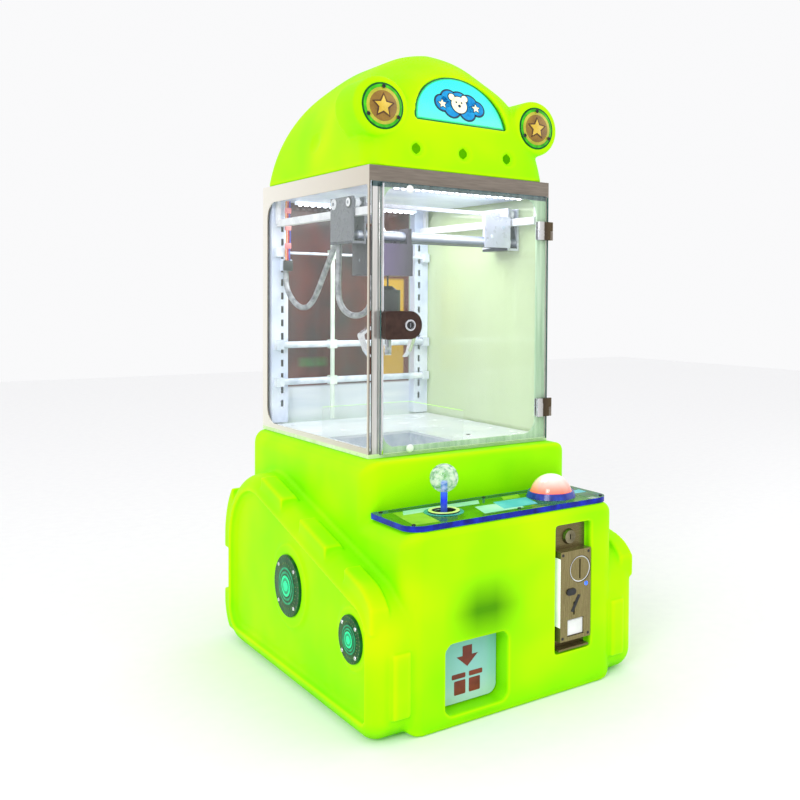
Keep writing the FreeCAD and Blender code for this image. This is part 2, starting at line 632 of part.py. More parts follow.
def trolley_parts():
    """The trolley that runs along the bridge tubes and carries the winch."""
    x0 = size("trolley_x")
    y0 = size("bridge_y")
    half = size("trolley_wide") / 2
    bottom = size("trolley_bottom")
    top = bottom + size("trolley_high")
    gap = size("tube_spacing")
    shell = simple_box((x0 - half, x0 + half), (y0 - 16, y0 + gap + 14), (bottom, top))
    room = simple_box((x0 - half + 4, x0 + half - 4), (y0 - 13, y0 + gap + 11), (bottom + 4, top - 4))
    sides = []
    for shift in (0, gap):
        for x in (x0 - half, x0 + half - 8):
            sides.append(simple_box((x, x + 8), (y0 + shift - 12, y0 + shift + 12), (top - 1, top + 25)))
    case = shell.cut(room).multiFuse(sides)
    for shift in (0, gap):
        case = case.cut(simple_rod(size("tube_radius") + 0.08,
                                   Vector(x0 - half - 1, y0 + shift, size("tube_level")),
                                   Vector(1, 0, 0), 2 * half + 2))
    case = case.cut(simple_rod(4, Vector(x0 + 8, size("claw_y"), bottom - 1), Vector(0, 0, 1), 8))
    reel_bore = simple_rod(3.05, Vector(x0 - half - 1, size("claw_y") + size("reel_radius"), bottom + 24),
                           Vector(1, 0, 0), 2 * half + 2)
    case = case.cut(reel_bore)
    keep(solid_feature("TrolleyCase", case), "trolley_case")
    motor = simple_rod(9, Vector(x0 - 18, y0 + 18, top + 11), Vector(1, 0, 0), 36)
    motor_foot = simple_box((x0 - 12, x0 + 12), (y0 + 11, y0 + 25), (top, top + 5))
    cap = Part.makeCone(7, 3, 9, Vector(x0, y0 + 18, top + 18), Vector(0, 0, 1))
    keep(solid_feature("TrolleyMotor", motor.multiFuse([motor_foot, cap])), "trolley_motor")
    reel_y = size("claw_y") + size("reel_radius")
    drum = simple_rod(size("reel_radius") - 1.8, Vector(x0 + 1, reel_y, bottom + 24),
                      Vector(1, 0, 0), size("reel_wide"))
    cheeks = [simple_rod(size("reel_radius") + 3, Vector(x, reel_y, bottom + 24), Vector(1, 0, 0), 2)
              for x in (x0 - 1, x0 + 1 + size("reel_wide"))]
    shaft = simple_rod(3, Vector(x0 - half + 0.5, reel_y, bottom + 24), Vector(1, 0, 0), 2 * half - 1)
    keep(solid_feature("WinchReel", drum.multiFuse(cheeks + [shaft])), "winch_reel")
    cord_top = bottom + 24
    cord = simple_rod(size("cord_radius"), Vector(x0 + 8, size("claw_y"), size("claw_top")),
                      Vector(0, 0, 1), cord_top - size("claw_top"))
    keep(solid_feature("HoistCord", cord), "hoist_cord")


def claw_parts():
    x0 = size("trolley_x") + 8
    y0 = size("claw_y")
    low = size("claw_bottom")
    high = size("claw_top")
    radius = size("claw_radius")
    up = Vector(0, 0, 1)
    body = simple_rod(radius, Vector(x0, y0, low + 16), up, high - low - 22)
    cap = Part.makeCone(radius * 0.75, radius * 0.35, 6, Vector(x0, y0, high - 6), up)
    stem = simple_rod(6, Vector(x0, y0, low - 18), up, 36)
    hub = simple_rod(13, Vector(x0, y0, low + 6), up, 11)
    body = body.multiFuse([cap, stem, hub])
    fingers = []
    for index in range(3):
        angle = 180 + 120 * index
        turn = Placement(Vector(x0, y0, 0), Rotation(up, angle))
        lug_pair = [simple_box((13, 24), (side * 6.5 - 2 + side * 1.5, side * 6.5 + 2 + side * 1.5),
                               (low + 7, low + 17)) for side in (-1, 1)]
        pin = simple_rod(1.8, Vector(20, -10, low + 11), Vector(0, 1, 0), 20)
        lugs = lug_pair[0].multiFuse([lug_pair[1], pin])
        lugs.Placement = turn
        body = body.fuse(lugs)
        wide = size("finger_wide")
        reach = size("finger_reach")
        drop = size("finger_drop")
        outline = [(24.5, low + 15, 3.6), (15.5, low + 15, 3.6), (15.5, low + 4, 2), (reach - 4, low - 12, 4),
                   (reach - 12, low - drop + 8, 2), (reach - 18, low - drop + 1, 0.8),
                   (reach - 15, low - drop, 0.8), (reach - 7, low - drop + 10, 3),
                   (reach + 3, low - 12, 5), (24.5, low + 6, 3)]
        blade = extruded(rounded_outline(outline), FRONT_PLANE, Vector(0, wide / 2, 0), wide)
        blade = blade.cut(simple_rod(1.88, Vector(20, -wide, low + 11), Vector(0, 1, 0), 2 * wide))
        blade.Placement = turn.multiply(blade.Placement)
        fingers.append(blade)
    keep(solid_feature("ClawBody", body), "claw_body")
    for name, blade in zip("abc", fingers):
        keep(solid_feature(f"ClawFinger{name}", blade), f"claw_finger_{name}")


# ---------------------------------------------------------------- control deck

def deck_parts():
    level = size("deck_level")
    top = level + size("deck_thick")
    half = size("deck_half")
    round_off = size("deck_round")
    panel_wire = rounded_outline([(-half, size("deck_front"), round_off), (half, size("deck_front"), round_off),
                                  (half, size("ledge_front") - 1, 4), (-half, size("ledge_front") - 1, 4)])
    panel = Part.Face(panel_wire).extrude(Vector(0, 0, size("deck_thick")))
    panel.translate(Vector(0, 0, level))
    for x, y, radius in ((size("stick_x"), size("stick_y"), size("stick_ring") - 3),
                         (size("button_x"), size("button_y"), size("button_radius") - 9)):
        panel = panel.cut(simple_rod(radius, Vector(x, y, level - 1), Vector(0, 0, 1), 20))
    screws = []
    for x in (-half + 12, 10, half - 12):
        for y in (size("deck_front") + 12, size("ledge_front") - 10):
            spot = Vector(x, y, level)
            panel = panel.cut(simple_rod(2.1, spot - Vector(0, 0, 1), Vector(0, 0, 1), 20))
            screws.append(simple_rod(2, spot, Vector(0, 0, 1), size("deck_thick"))
                          .fuse(simple_rod(4, spot + Vector(0, 0, size("deck_thick")), Vector(0, 0, 1), 2)))
    keep(solid_feature("DeckPanel", panel), "deck_panel")
    return screws, top


def joystick_parts(top):
    x, y = size("stick_x"), size("stick_y")
    up = Vector(0, 0, 1)
    ring = size("stick_ring")
    pivot = size("deck_level") - 26
    collar = simple_rod(ring, Vector(x, y, top), up, 2.5)
    throat = simple_rod(ring - 3.2, Vector(x, y, size("deck_level") - 12), up, top + 1 - size("deck_level") + 12)
    case = simple_box((x - 30, x + 30), (y - 30, y + 30), (pivot - 26, size("deck_level") - 8))
    housing = collar.multiFuse([throat, case])
    bowl = Part.makeCone(10, ring - 6, top + 3 - pivot + 8, Vector(x, y, pivot - 8), up)
    room = simple_box((x - 22, x + 22), (y - 22, y + 22), (pivot - 14, pivot + 12))
    gimbal_bore = simple_rod(2.55, Vector(x, y - 26, pivot), Vector(0, 1, 0), 52)
    keep(solid_feature("JoystickHousing", housing.cut(bowl).cut(room).cut(gimbal_bore)),
         "joystick_housing")
    ring_out = simple_box((x - 16, x + 16), (y - 13, y + 13), (pivot - 5, pivot + 5))
    ring_in = simple_box((x - 11, x + 11), (y - 9, y + 9), (pivot - 6, pivot + 6))
    gimbal = ring_out.fuse(simple_rod(2.5, Vector(x, y - 25, pivot), Vector(0, 1, 0), 50))
    gimbal = gimbal.cut(ring_in).cut(simple_rod(2.05, Vector(x - 20, y, pivot), Vector(1, 0, 0), 40))
    keep(solid_feature("JoystickGimbal", gimbal), "joystick_gimbal")
    knuckle = Part.makeSphere(8, Vector(x, y, pivot))
    cross_pin = simple_rod(2, Vector(x - 15, y, pivot), Vector(1, 0, 0), 30)
    shaft = simple_rod(size("stick_radius"), Vector(x, y, pivot), up, size("ball_height") - pivot)
    keep(solid_feature("JoystickShaft", shaft.multiFuse([knuckle, cross_pin])), "joystick_shaft")
    ball = Part.makeSphere(size("ball_radius"), Vector(x, y, size("ball_height") + 4))
    bore = simple_rod(size("stick_radius"), Vector(x, y, size("ball_height") - 40), up, 40)
    keep(solid_feature("JoystickBall", ball.cut(bore)), "joystick_ball")


def button_parts(top):
    x, y = size("button_x"), size("button_y")
    up = Vector(0, 0, 1)
    radius = size("button_radius")
    ring = Part.makeCone(size("bezel_radius"), size("bezel_radius") - 3, 9, Vector(x, y, top), up)
    barrel = simple_rod(radius - 9.2, Vector(x, y, size("deck_level") - 34), up, top + 1 - size("deck_level") + 34)
    bezel = ring.fuse(barrel)
    bezel = bezel.cut(simple_rod(radius + 0.5, Vector(x, y, top + 1), up, 20))
    bezel = bezel.cut(simple_rod(12.1, Vector(x, y, size("deck_level") - 30), up, 60))
    keep(solid_feature("ButtonBezel", bezel), "button_bezel")
    cap_low = top + 6
    dome = Part.makeSphere(radius, Vector(x, y, cap_low - 4))
    dome = dome.common(simple_box((x - 60, x + 60), (y - 60, y + 60), (cap_low + 2, cap_low + 60)))
    skirt = simple_rod(radius, Vector(x, y, cap_low), up, 3)
    plunger = simple_rod(12, Vector(x, y, size("deck_level") - 22), up, cap_low + 1 - size("deck_level") + 22)
    keep(solid_feature("DropButton", dome.multiFuse([skirt, plunger])), "drop_button")


# ---------------------------------------------------------------- coin mechanism

def coin_parts():
    plane = size("coin_plane")
    left, right = size("coin_left"), size("coin_right")
    low, high = size("coin_bottom"), size("coin_top")
    plate = front_slab(rectangle(left, right, low, high, 4), plane, plane + 2)
    lock_x, lock_z = size("coin_lock_x"), size("coin_lock_height")
    plate = plate.cut(simple_rod(9.05, Vector(lock_x, plane + 5, lock_z), Vector(0, -1, 0), 20))
    room = simple_box((size("acceptor_left") + 4, right - 4), (plane - 1, plane + 3),
                      (size("acceptor_bottom") + 4, size("acceptor_top") - 4))
    plate = plate.cut(room)
    lip = simple_box((left + 4, right - 4), (plane - 16, plane), (low + 2, low + 5))
    keep(solid_feature("CoinPlate", plate.fuse(lip)), "coin_plate")

    face = size("acceptor_front")
    a_left = size("acceptor_left")
    a_low, a_high = size("acceptor_bottom"), size("acceptor_top")
    body = simple_box((a_left, right - 1), (face, plane), (a_low, a_high))
    inner = simple_box((a_left + 4.5, right - 4.5), (plane - 1, plane + 46), (a_low + 4.5, a_high - 4.5))
    body = body.fuse(inner)
    mid = (a_left + right) / 2
    entry = Vector(mid + 8, face - 1, a_high - 30)
    body = body.cut(simple_rod(21, entry, Vector(0, 1, 0), 2.5))
    body = body.fuse(simple_rod(19, entry + Vector(0, 1.6, 0), Vector(0, 1, 0), 3))
    body = body.cut(simple_box((entry.x - 1.3, entry.x + 1.3), (face - 2, face + 40), (entry.z - 15, entry.z + 15)))
    body = body.cut(simple_box((mid - 5, mid - 2), (face - 1, face + 6), (a_low + 38, a_low + 58)))
    cup = simple_box((mid - 16, mid + 16), (face - 1, plane + 20), (a_low + 6, a_low + 32))
    body = body.cut(cup)
    body = body.cut(simple_rod(5.05, Vector(a_left + 16, face - 1, a_high - 62), Vector(0, 1, 0), 16))
    body = body.cut(simple_rod(5.05, Vector(a_left + 24, face - 1, a_high - 62), Vector(0, 1, 0), 16))
    body = body.cut(simple_box((a_left + 16, a_left + 24), (face - 1, face + 15),
                               (a_high - 67.05, a_high - 56.95)))
    for side in (-1, 1):
        pin_seat = simple_rod(1.45, Vector(mid + side * 16, face + 4, a_low + 29), Vector(side, 0, 0), 3)
        body = body.cut(pin_seat)
    keep(solid_feature("CoinAcceptor", body), "coin_acceptor")

    oval = front_slab(rectangle(a_left + 11, a_left + 29, a_high - 67, a_high - 57, 4.9), face - 2, face + 8)
    keep(solid_feature("RejectButton", oval), "coin_reject_button")
    door = simple_box((mid - 15.5, mid + 15.5), (face + 2.5, face + 5.5), (a_low + 7, a_low + 29))
    hinge = simple_rod(1.4, Vector(mid - 18.5, face + 4, a_low + 29), Vector(1, 0, 0), 37)
    keep(solid_feature("CoinFlap", door.fuse(hinge)), "coin_return_flap")

    core = simple_rod(9, Vector(lock_x, plane + 22, lock_z), Vector(0, -1, 0), 22.5)
    collar = Part.makeCone(12, 10, 5, Vector(lock_x, plane - 0.3, lock_z), Vector(0, -1, 0))
    core = core.fuse(collar).cut(simple_box((lock_x - 1, lock_x + 1), (plane - 8, plane - 2),
                                            (lock_z - 4, lock_z + 4)))
    cam = simple_box((lock_x - 5, lock_x + 5), (plane + 19, plane + 22), (lock_z - 4, lock_z + 10))
    keep(solid_feature("CoinLockCore", core.fuse(cam)), "coin_lock_core")

    floor = size("shell_wall")
    tray = simple_box((10, 170), (plane + 60, plane + 200), (floor, 68))
    hollow = simple_box((12, 168), (plane + 62, plane + 198), (floor + 2, 80))
    keep(solid_feature("CoinBox", tray.cut(hollow)), "coin_box")


# ---------------------------------------------------------------- outlet flap, service door, electrics

def outlet_flap():
    """The clear flap that hangs inside the prize outlet on its own pins."""
    left = size("outlet_left") + 3
    right = size("outlet_right") - 3
    y = size("body_front") + size("outlet_depth")
    top = size("outlet_top") - 5
    bottom = size("outlet_bottom") + 3
    bend = size("outlet_round")
    panel = front_slab([(left, bottom, bend), (right, bottom, bend), (right, top, 0), (left, top, 0)],
                       y - 2, y - 2 + size("flap_thick"))
    pin = simple_rod(2.5, Vector(left - 5, y, top), Vector(1, 0, 0), right - left + 10)
    keep(solid_feature("PrizeFlap", panel.fuse(pin)), "prize_flap")


def service_parts():
    rear = "body_rear"
    door = box("RearDoor", (-108, 108), (f"{rear} - 5", f"{rear} - 1"), (72, 288))
    knob = rod("RearDoorLock", 9, 5, (90, f"{rear} - 6", 180), "y")
    barrel = rod("RearDoorBarrel", 1.8, 216, (-108, f"{rear} - 2", 72))
    keep(fuse("ServiceDoor", door, knob, barrel), "service_door")
    keep(box("PowerInlet", (130.5, 157.5), (f"{rear} - 22", f"{rear}"), (60.5, 79.5)), "power_inlet")
    keep(box("ControlUnit", (-160, -60), (110, 230), ("shell_wall", 62)), "control_unit")


# ---------------------------------------------------------------- hood

def hood_section(level, inset):
    """A rounded-rectangle cross-section of the dome at a height, held in on every side."""
    base = size("cabinet_top")
    rise = (level + inset - base) / (size("machine_top") - base)
    half = size("hood_half") * math.sqrt(max(1 - rise ** 2, 0.004)) - inset
    front = size("hood_front") + 8 * rise + 46 * rise ** 3 + 60 * rise ** 8 + inset
    rear = size("hood_rear") - 34 * rise - 120 * rise ** 4 - inset
    depth = rear - front
    radius = min(30 + 70 * rise, half * 0.92, depth * 0.45)
    wire = rounded_outline(rectangle(-half, half, front, rear, radius))
    wire.translate(Vector(0, 0, level))
    return wire


def dome(inset):
    base = size("cabinet_top") + (0 if inset == 0 else -2)
    top = size("machine_top") - 2 * inset
    stations = (0, 0.12, 0.3, 0.5, 0.68, 0.82, 0.92, 0.975, 1)
    wires = [hood_section(base + (top - base) * station, inset) for station in stations]
    return Part.makeLoft(wires, True, False)


def marquee_outline(grow):
    half = size("marquee_half") + grow
    low = size("marquee_bottom") - grow
    high = size("marquee_top") + grow
    count = 9
    edge = [Vector(half * math.cos(math.pi * step / (count - 1)),
                   low + (high - low) * math.sin(math.pi * step / (count - 1)), 0)
            for step in range(count)]
    arch = Part.BSplineCurve()
    arch.interpolate(edge)
    return Part.Wire([arch.toShape(), Part.LineSegment(edge[-1], edge[0]).toShape()])


def marquee_slab(grow, start, end):
    """A slab of the half-oval marquee outline, leaning back with the hood's face."""
    slab = Part.Face(marquee_outline(grow)).extrude(Vector(0, 0, end - start))
    slab.Placement = Placement(Vector(0, end, 0), FRONT_PLANE)
    slab.rotate(Vector(0, 0, size("marquee_bottom")), Vector(1, 0, 0), -size("marquee_lean"))
    slab.translate(Vector(0, size("marquee_plane"), 0))
    return slab


def hood_parts():
    skin = dome(0)
    lamp_z = size("lamp_height")
    pod_radius = size("lamp_pod_radius")
    lamp_face = size("hood_front") + 2
    pods = []
    for side in (-1, 1):
        pod = simple_rod(pod_radius, Vector(side * size("lamp_x"), lamp_face, lamp_z), Vector(0, 1, 0), 70)
        pod = pod.makeFillet(9, [pod.Edges[0] if pod.Edges[0].BoundBox.YMax < lamp_face + 1 else pod.Edges[2]])
        pods.append(pod)
    bezel = marquee_slab(7, -6, 60)
    skin = skin.multiFuse(pods + [bezel])
    skin = skin.cut(dome(size("shell_wall") - 1))
    skin = skin.cut(marquee_slab(0, -30, -3))
    skin = skin.cut(marquee_slab(-5, -30, 90))
    for side in (-1, 1):
        centre = Vector(side * size("lamp_x"), lamp_face, lamp_z)
        seat = simple_rod(size("star_lamp_radius") + 0.2, centre - Vector(0, 1, 0), Vector(0, 1, 0), 6)
        skin = skin.cut(seat)
    for x in (-84, 0, 84):
        pit = Part.makeSphere(14, Vector(x, size("hood_front") - 5.5, 819))
        skin = skin.cut(pit)
    saucer = Part.makeSphere(60, Vector(-size("hood_half") - 49, 75, 856))
    skin = skin.cut(saucer).cut(mirrored(saucer))
    keep(solid_feature("HoodShell", skin), "hood_shell")

    keep(solid_feature("MarqueeLens", marquee_slab(-0.4, -7, -3.2)), "marquee_lens")
    fasteners = []
    for side, hand in ((-1, "left"), (1, "right")):
        centre = Vector(side * size("lamp_x"), lamp_face + 5, lamp_z)
        lamp = simple_rod(size("star_lamp_radius"), centre, Vector(0, -1, 0), 7)
        for step in range(3):
            angle = math.radians(90 + 120 * step)
            spot = centre + Vector(0.84 * size("star_lamp_radius") * math.cos(angle), 0,
                                   0.84 * size("star_lamp_radius") * math.sin(angle))
            lamp = lamp.cut(simple_rod(1.6, spot, Vector(0, -1, 0), 8))
            fasteners.append(simple_rod(1.5, spot, Vector(0, -1, 0), 7)
                             .fuse(simple_rod(3, spot - Vector(0, 7, 0), Vector(0, -1, 0), 1.5)))
        keep(solid_feature(f"StarLamp{hand}", lamp), f"star_lamp_{hand}")
    return fasteners


# ---------------------------------------------------------------- lights and conduits

def led_strips():
    """Light bars under the ceiling along the front and both sides."""
    under = size("cabinet_top") - size("band_height")
    half = size("cabinet_half") - 14
    bars = [simple_box((-half + 30, half - 30), (size("cabinet_front") + 8, size("cabinet_front") + 18),
                       (under - 6, under)),
            simple_box((-half + 30, half - 30), (size("cabinet_rear") - 46, size("cabinet_rear") - 36),
                       (under - 6, under))]
    keep(solid_feature("LedStrips", Part.makeCompound(bars)), "led_strips")


def conduit(name, label, route, radius):
    """A hanging conduit: straight runs joined by tangent arcs through a chosen route."""
    corners = [Vector(*point) for point in route]
    edges = []
    start = corners[0]
    radii = []
    for index in range(1, len(corners) - 1):
        here = corners[index]
        back = corners[index - 1] - here
        ahead = corners[index + 1] - here
        turn = math.pi - back.getAngle(ahead)
        reach = 0.45 * min(back.Length, ahead.Length)
        bend = reach / math.tan(turn / 2)
        radii.append(round(bend, 1))
        back.normalize()
        ahead.normalize()
        centre = here + (back + ahead).normalize() * (bend / math.cos(turn / 2))
        middle = centre + (here - centre).normalize() * bend
        first = here + back * reach
        last = here + ahead * reach
        edges.append(Part.LineSegment(start, first).toShape())
        edges.append(Part.Arc(first, middle, last).toShape())
        start = last
    edges.append(Part.LineSegment(start, corners[-1]).toShape())
    path = Part.Wire(edges)
    section = Part.Wire(Part.Circle(corners[0], corners[1] - corners[0], radius).toShape())
    tube = path.makePipeShell([section], True, False)
    expected = math.pi * radius ** 2 * path.Length
    print(f"{label}: length {path.Length:.1f}, radii {radii}, volume ratio {tube.Volume / expected:.4f}")
    keep(solid_feature(name, tube), label)


def conduits():
    radius = size("conduit_radius")
    conduit("LongConduit", "bridge_conduit", LONG_ROUTE, radius)
    conduit("ShortConduit", "trolley_conduit", SHORT_ROUTE, radius)


# ---------------------------------------------------------------- assembly

keep(solid_feature("BaseShell", moulded_body()), "base_shell")
lamp_screws = track_lamps()
cabinet_parts()
back_rails()
playfield_parts()
prize_chute()
door_parts()
lock_plate()
gantry_rails()
bridge_parts()
trolley_parts()
claw_parts()
deck_screws, deck_top = deck_parts()
joystick_parts(deck_top)
button_parts(deck_top)
coin_parts()
outlet_flap()
service_parts()
hood_screws = hood_parts()
keep(solid_feature("CoverScrews", Part.makeCompound(lamp_screws + deck_screws + hood_screws)),
     "cover_screws")
led_strips()
conduits()

doc.recompute()
faults = []
for item in doc.Objects:
    if {"Invalid", "Error"} & set(item.State):
        faults.append(item.Name)
for item in nodes:
    if item.Shape.isNull() or not item.Shape.isValid():
        faults.append(item.Label)
if faults:
    raise RuntimeError("sub-parts that failed: " + ", ".join(faults))

os.makedirs("parts", exist_ok=True)
for item in nodes:
    item.Shape.exportStep(f"parts/{item.Label}.step")
print(len(nodes), "nodes written")
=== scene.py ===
import math

import bmesh
import bpy
from mathutils import Matrix, Vector


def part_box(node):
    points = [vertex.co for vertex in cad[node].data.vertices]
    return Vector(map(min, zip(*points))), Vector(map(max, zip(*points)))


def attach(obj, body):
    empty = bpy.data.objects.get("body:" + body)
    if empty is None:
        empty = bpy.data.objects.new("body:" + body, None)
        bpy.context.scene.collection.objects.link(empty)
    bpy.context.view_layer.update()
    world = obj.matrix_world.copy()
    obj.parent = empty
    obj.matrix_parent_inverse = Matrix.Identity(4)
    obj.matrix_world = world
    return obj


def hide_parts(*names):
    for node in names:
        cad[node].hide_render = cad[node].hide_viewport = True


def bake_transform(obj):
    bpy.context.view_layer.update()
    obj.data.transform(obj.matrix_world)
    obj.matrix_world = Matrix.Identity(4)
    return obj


# Looks of the claw crane machine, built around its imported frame.  Metres; X to the machine's
# right, Y to its back, Z up, the origin on the floor.

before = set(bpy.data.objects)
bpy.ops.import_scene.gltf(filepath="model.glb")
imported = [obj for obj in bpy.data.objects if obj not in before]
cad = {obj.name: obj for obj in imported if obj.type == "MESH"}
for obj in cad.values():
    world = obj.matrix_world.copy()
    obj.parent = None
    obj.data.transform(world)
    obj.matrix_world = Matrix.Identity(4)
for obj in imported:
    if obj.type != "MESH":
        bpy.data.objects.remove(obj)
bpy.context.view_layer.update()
scene = bpy.context.scene
scene.view_settings.view_transform = "Standard"


# ---------------------------------------------------------------- camera

def look_axes(heading, tilt, roll):
    """Right, up and forward axes of a camera: heading off +Y, downward tilt and roll, in degrees."""
    heading, tilt, roll = (math.radians(angle) for angle in (heading, tilt, roll))
    forward = Vector((math.sin(heading) * math.cos(tilt), math.cos(heading) * math.cos(tilt),
                      -math.sin(tilt)))
    right = Vector((math.cos(heading), -math.sin(heading), 0))
    up = right.cross(forward)
    return (right * math.cos(roll) + up * math.sin(roll),
            up * math.cos(roll) - right * math.sin(roll), forward)


def add_camera():
    data = bpy.data.cameras.new("camera")
    data.sensor_width = 36
    data.lens = 42.6
    data.shift_x = -0.18
    data.shift_y = -0.094
    camera = bpy.data.objects.new("camera", data)
    scene.collection.objects.link(camera)
    right, up, forward = look_axes(38.1, 1.5, 0.5)
    turn = Matrix((right, up, -forward)).transposed()
    camera.matrix_world = Matrix.Translation((-0.816, -1.368, 0.592)) @ turn.to_4x4()
    scene.camera = camera


add_camera()


# ---------------------------------------------------------------- materials

def tone(red, green, blue):
    """A linear colour from the 0-255 values a colour chart gives."""
    def linear(value):
        value /= 255
        return value / 12.92 if value <= 0.04045 else ((value + 0.055) / 1.055) ** 2.4
    return (linear(red), linear(green), linear(blue), 1)


class Look:
    """A material under construction: its node tree and its surface shader."""

    def __init__(self, name, **values):
        self.material = bpy.data.materials.new(name)
        self.material.use_nodes = True
        self.tree = self.material.node_tree
        self.shader = self.tree.nodes["Principled BSDF"]
        self.place = self.node("ShaderNodeTexCoord").outputs["Object"]
        for key, value in values.items():
            self.shader.inputs[key.replace("_", " ")].default_value = value

    def node(self, kind, inputs=None, **settings):
        made = self.tree.nodes.new(kind)
        for key, value in settings.items():
            setattr(made, key, value)
        for key, value in (inputs or {}).items():
            if isinstance(value, bpy.types.NodeSocket):
                self.tree.links.new(value, made.inputs[key])
            else:
                made.inputs[key].default_value = value
        return made

    def set(self, key, socket):
        self.tree.links.new(socket, self.shader.inputs[key])

    def stretched(self, scale):
        return self.node("ShaderNodeMapping", {"Vector": self.place, "Scale": scale}).outputs["Vector"]

    def noise(self, scale, stretch=(1, 1, 1), detail=3.0, rough=0.5):
        return self.node("ShaderNodeTexNoise", {"Vector": self.stretched(stretch), "Scale": scale,
                                                "Detail": detail, "Roughness": rough}).outputs["Fac"]

    def ramp(self, factor, stops):
        """Colours along a factor: stops of (position, colour), in colour chart or linear values."""
        made = self.node("ShaderNodeValToRGB", {"Fac": factor})
        elements = made.color_ramp.elements
        while len(elements) < len(stops):
            elements.new(0.5)
        for element, (position, colour) in zip(elements, stops):
            element.position = position
            element.color = tone(*colour) if len(colour) == 3 else colour
        return made.outputs["Color"]

    def blend(self, factor, first, second):
        made = self.node("ShaderNodeMix", data_type="RGBA")
        for socket, value in zip((made.inputs[0], made.inputs[6], made.inputs[7]), (factor, first, second)):
            if isinstance(value, bpy.types.NodeSocket):
                self.tree.links.new(value, socket)
            else:
                socket.default_value = value
        return made.outputs[2]

    def span(self, value, low, high, to_low=0.0, to_high=1.0):
        return self.node("ShaderNodeMapRange", {"Value": value, "From Min": low, "From Max": high,
                                                "To Min": to_low, "To Max": to_high}).outputs["Result"]

    def maths(self, operation, first, second=0.0):
        return self.node("ShaderNodeMath", {0: first, 1: second}, operation=operation).outputs["Value"]

    def axis(self, letter):
        return self.node("ShaderNodeSeparateXYZ", {"Vector": self.place}).outputs[letter]

    def within(self, value, low, high, soft=0.001):
        """1 between two bounds of a coordinate and 0 outside them, with soft edges."""
        rise = self.span(value, low - soft, low + soft)
        fall = self.span(value, high - soft, high + soft, 1, 0)
        return self.maths("MULTIPLY", rise, fall)

    def bump(self, height, strength, distance=0.001):
        made = self.node("ShaderNodeBump", {"Height": height, "Strength": strength, "Distance": distance})
        self.set("Normal", made.outputs["Normal"])


def surface(name, dark, light, grain=60, stretch=(1, 1, 1), rough=(0.3, 0.45), bump=0.08,
            bump_grain=900, metal=0.0, **values):
    """A plain finish: two mottled tones, uneven gloss and a fine surface grain."""
    look = Look(name, Metallic=metal, **values)
    look.set("Base Color", look.ramp(look.noise(grain, stretch), [(0.3, dark), (0.7, light)]))
    look.set("Roughness", look.span(look.noise(grain * 1.7, stretch), 0.3, 0.7, *rough))
    look.bump(look.noise(bump_grain, stretch, 2.0), bump, 0.0004)
    return look


def lime_plastic(name, shaded=False):
    """Translucent moulded polyethylene lit from inside, with painted shade that turns hollows a darker
    green and a painted yellow highlight on its edges.
    """
    look = Look(name, Roughness=0.55, Specular_IOR_Level=0.05)
    cloud = look.noise(5.5, detail=2.0)
    fine = look.noise(38, detail=4.0)
    glow = look.ramp(cloud, [(0.25, (118, 218, 0)), (0.5, (150, 234, 0)),
                             (0.78, (190, 244, 0))])
    # Painted shade: ambient occlusion darkens the green in hollows, creases and between parts.
    wide_painted_shade = look.node("ShaderNodeAmbientOcclusion", {"Distance": 0.07}, samples=6).outputs["AO"]
    close_painted_shade = look.node("ShaderNodeAmbientOcclusion", {"Distance": 0.02}, samples=6).outputs["AO"]
    glow = look.blend(look.span(wide_painted_shade, 0.35, 0.9, 0.25, 1), tone(88, 194, 0), glow)
    glow = look.blend(look.span(close_painted_shade, 0.35, 0.8, 0.5, 1), tone(70, 176, 0), glow)
    # Painted highlight: sharp convex edges turn a brighter yellow.
    edge = look.node("ShaderNodeNewGeometry").outputs["Pointiness"]
    glow = look.blend(look.span(edge, 0.503, 0.58, 0, 0.7), glow, tone(206, 246, 0))
    glow = look.blend(look.maths("MULTIPLY", fine, 0.12), glow, tone(200, 246, 0))
    if shaded:
        # The duct behind the wall over the outlet holds back the light.
        front = look.span(look.axis("Y"), -0.262, -0.270)
        over = look.maths("MULTIPLY", look.within(look.axis("X"), -0.102, -0.014, 0.028),
                          look.within(look.axis("Z"), 0.126, 0.184, 0.026))
        patch = look.maths("MULTIPLY", look.maths("MULTIPLY", over, front), 0.82)
        glow = look.blend(patch, glow, tone(36, 110, 4))
    look.set("Base Color", glow)
    look.set("Emission Color", glow)
    look.shader.inputs["Emission Strength"].default_value = 0.26
    look.bump(look.noise(420, detail=3.0), 0.10, 0.0004)
    return look


def clear_sheet(name, tint, alpha):
    """Clear glass or acrylic: a faint tint, faint smears and a wet gloss."""
    look = Look(name, IOR=1.5)
    smear = look.noise(7, (1, 1, 0.25), 5.0)
    tint = tone(*tint)
    paler = tuple(min(1, channel * 1.06) for channel in tint[:3]) + (1,)
    look.set("Base Color", look.ramp(smear, [(0.35, tint), (0.7, paler)]))
    look.set("Alpha", look.span(smear, 0.3, 0.7, *alpha))
    look.set("Roughness", look.span(look.noise(25), 0.3, 0.7, 0.03, 0.075))
    return look


def brushed(name, dark, light, along="X", metal=1.0):
    """Brushed metal: long fine scratches along one axis."""
    stretch = {"X": (1, 60, 60), "Y": (60, 1, 60), "Z": (60, 60, 1)}[along]
    return surface(name, dark, light, 40, stretch, (0.22, 0.36), 0.10, 90, metal)


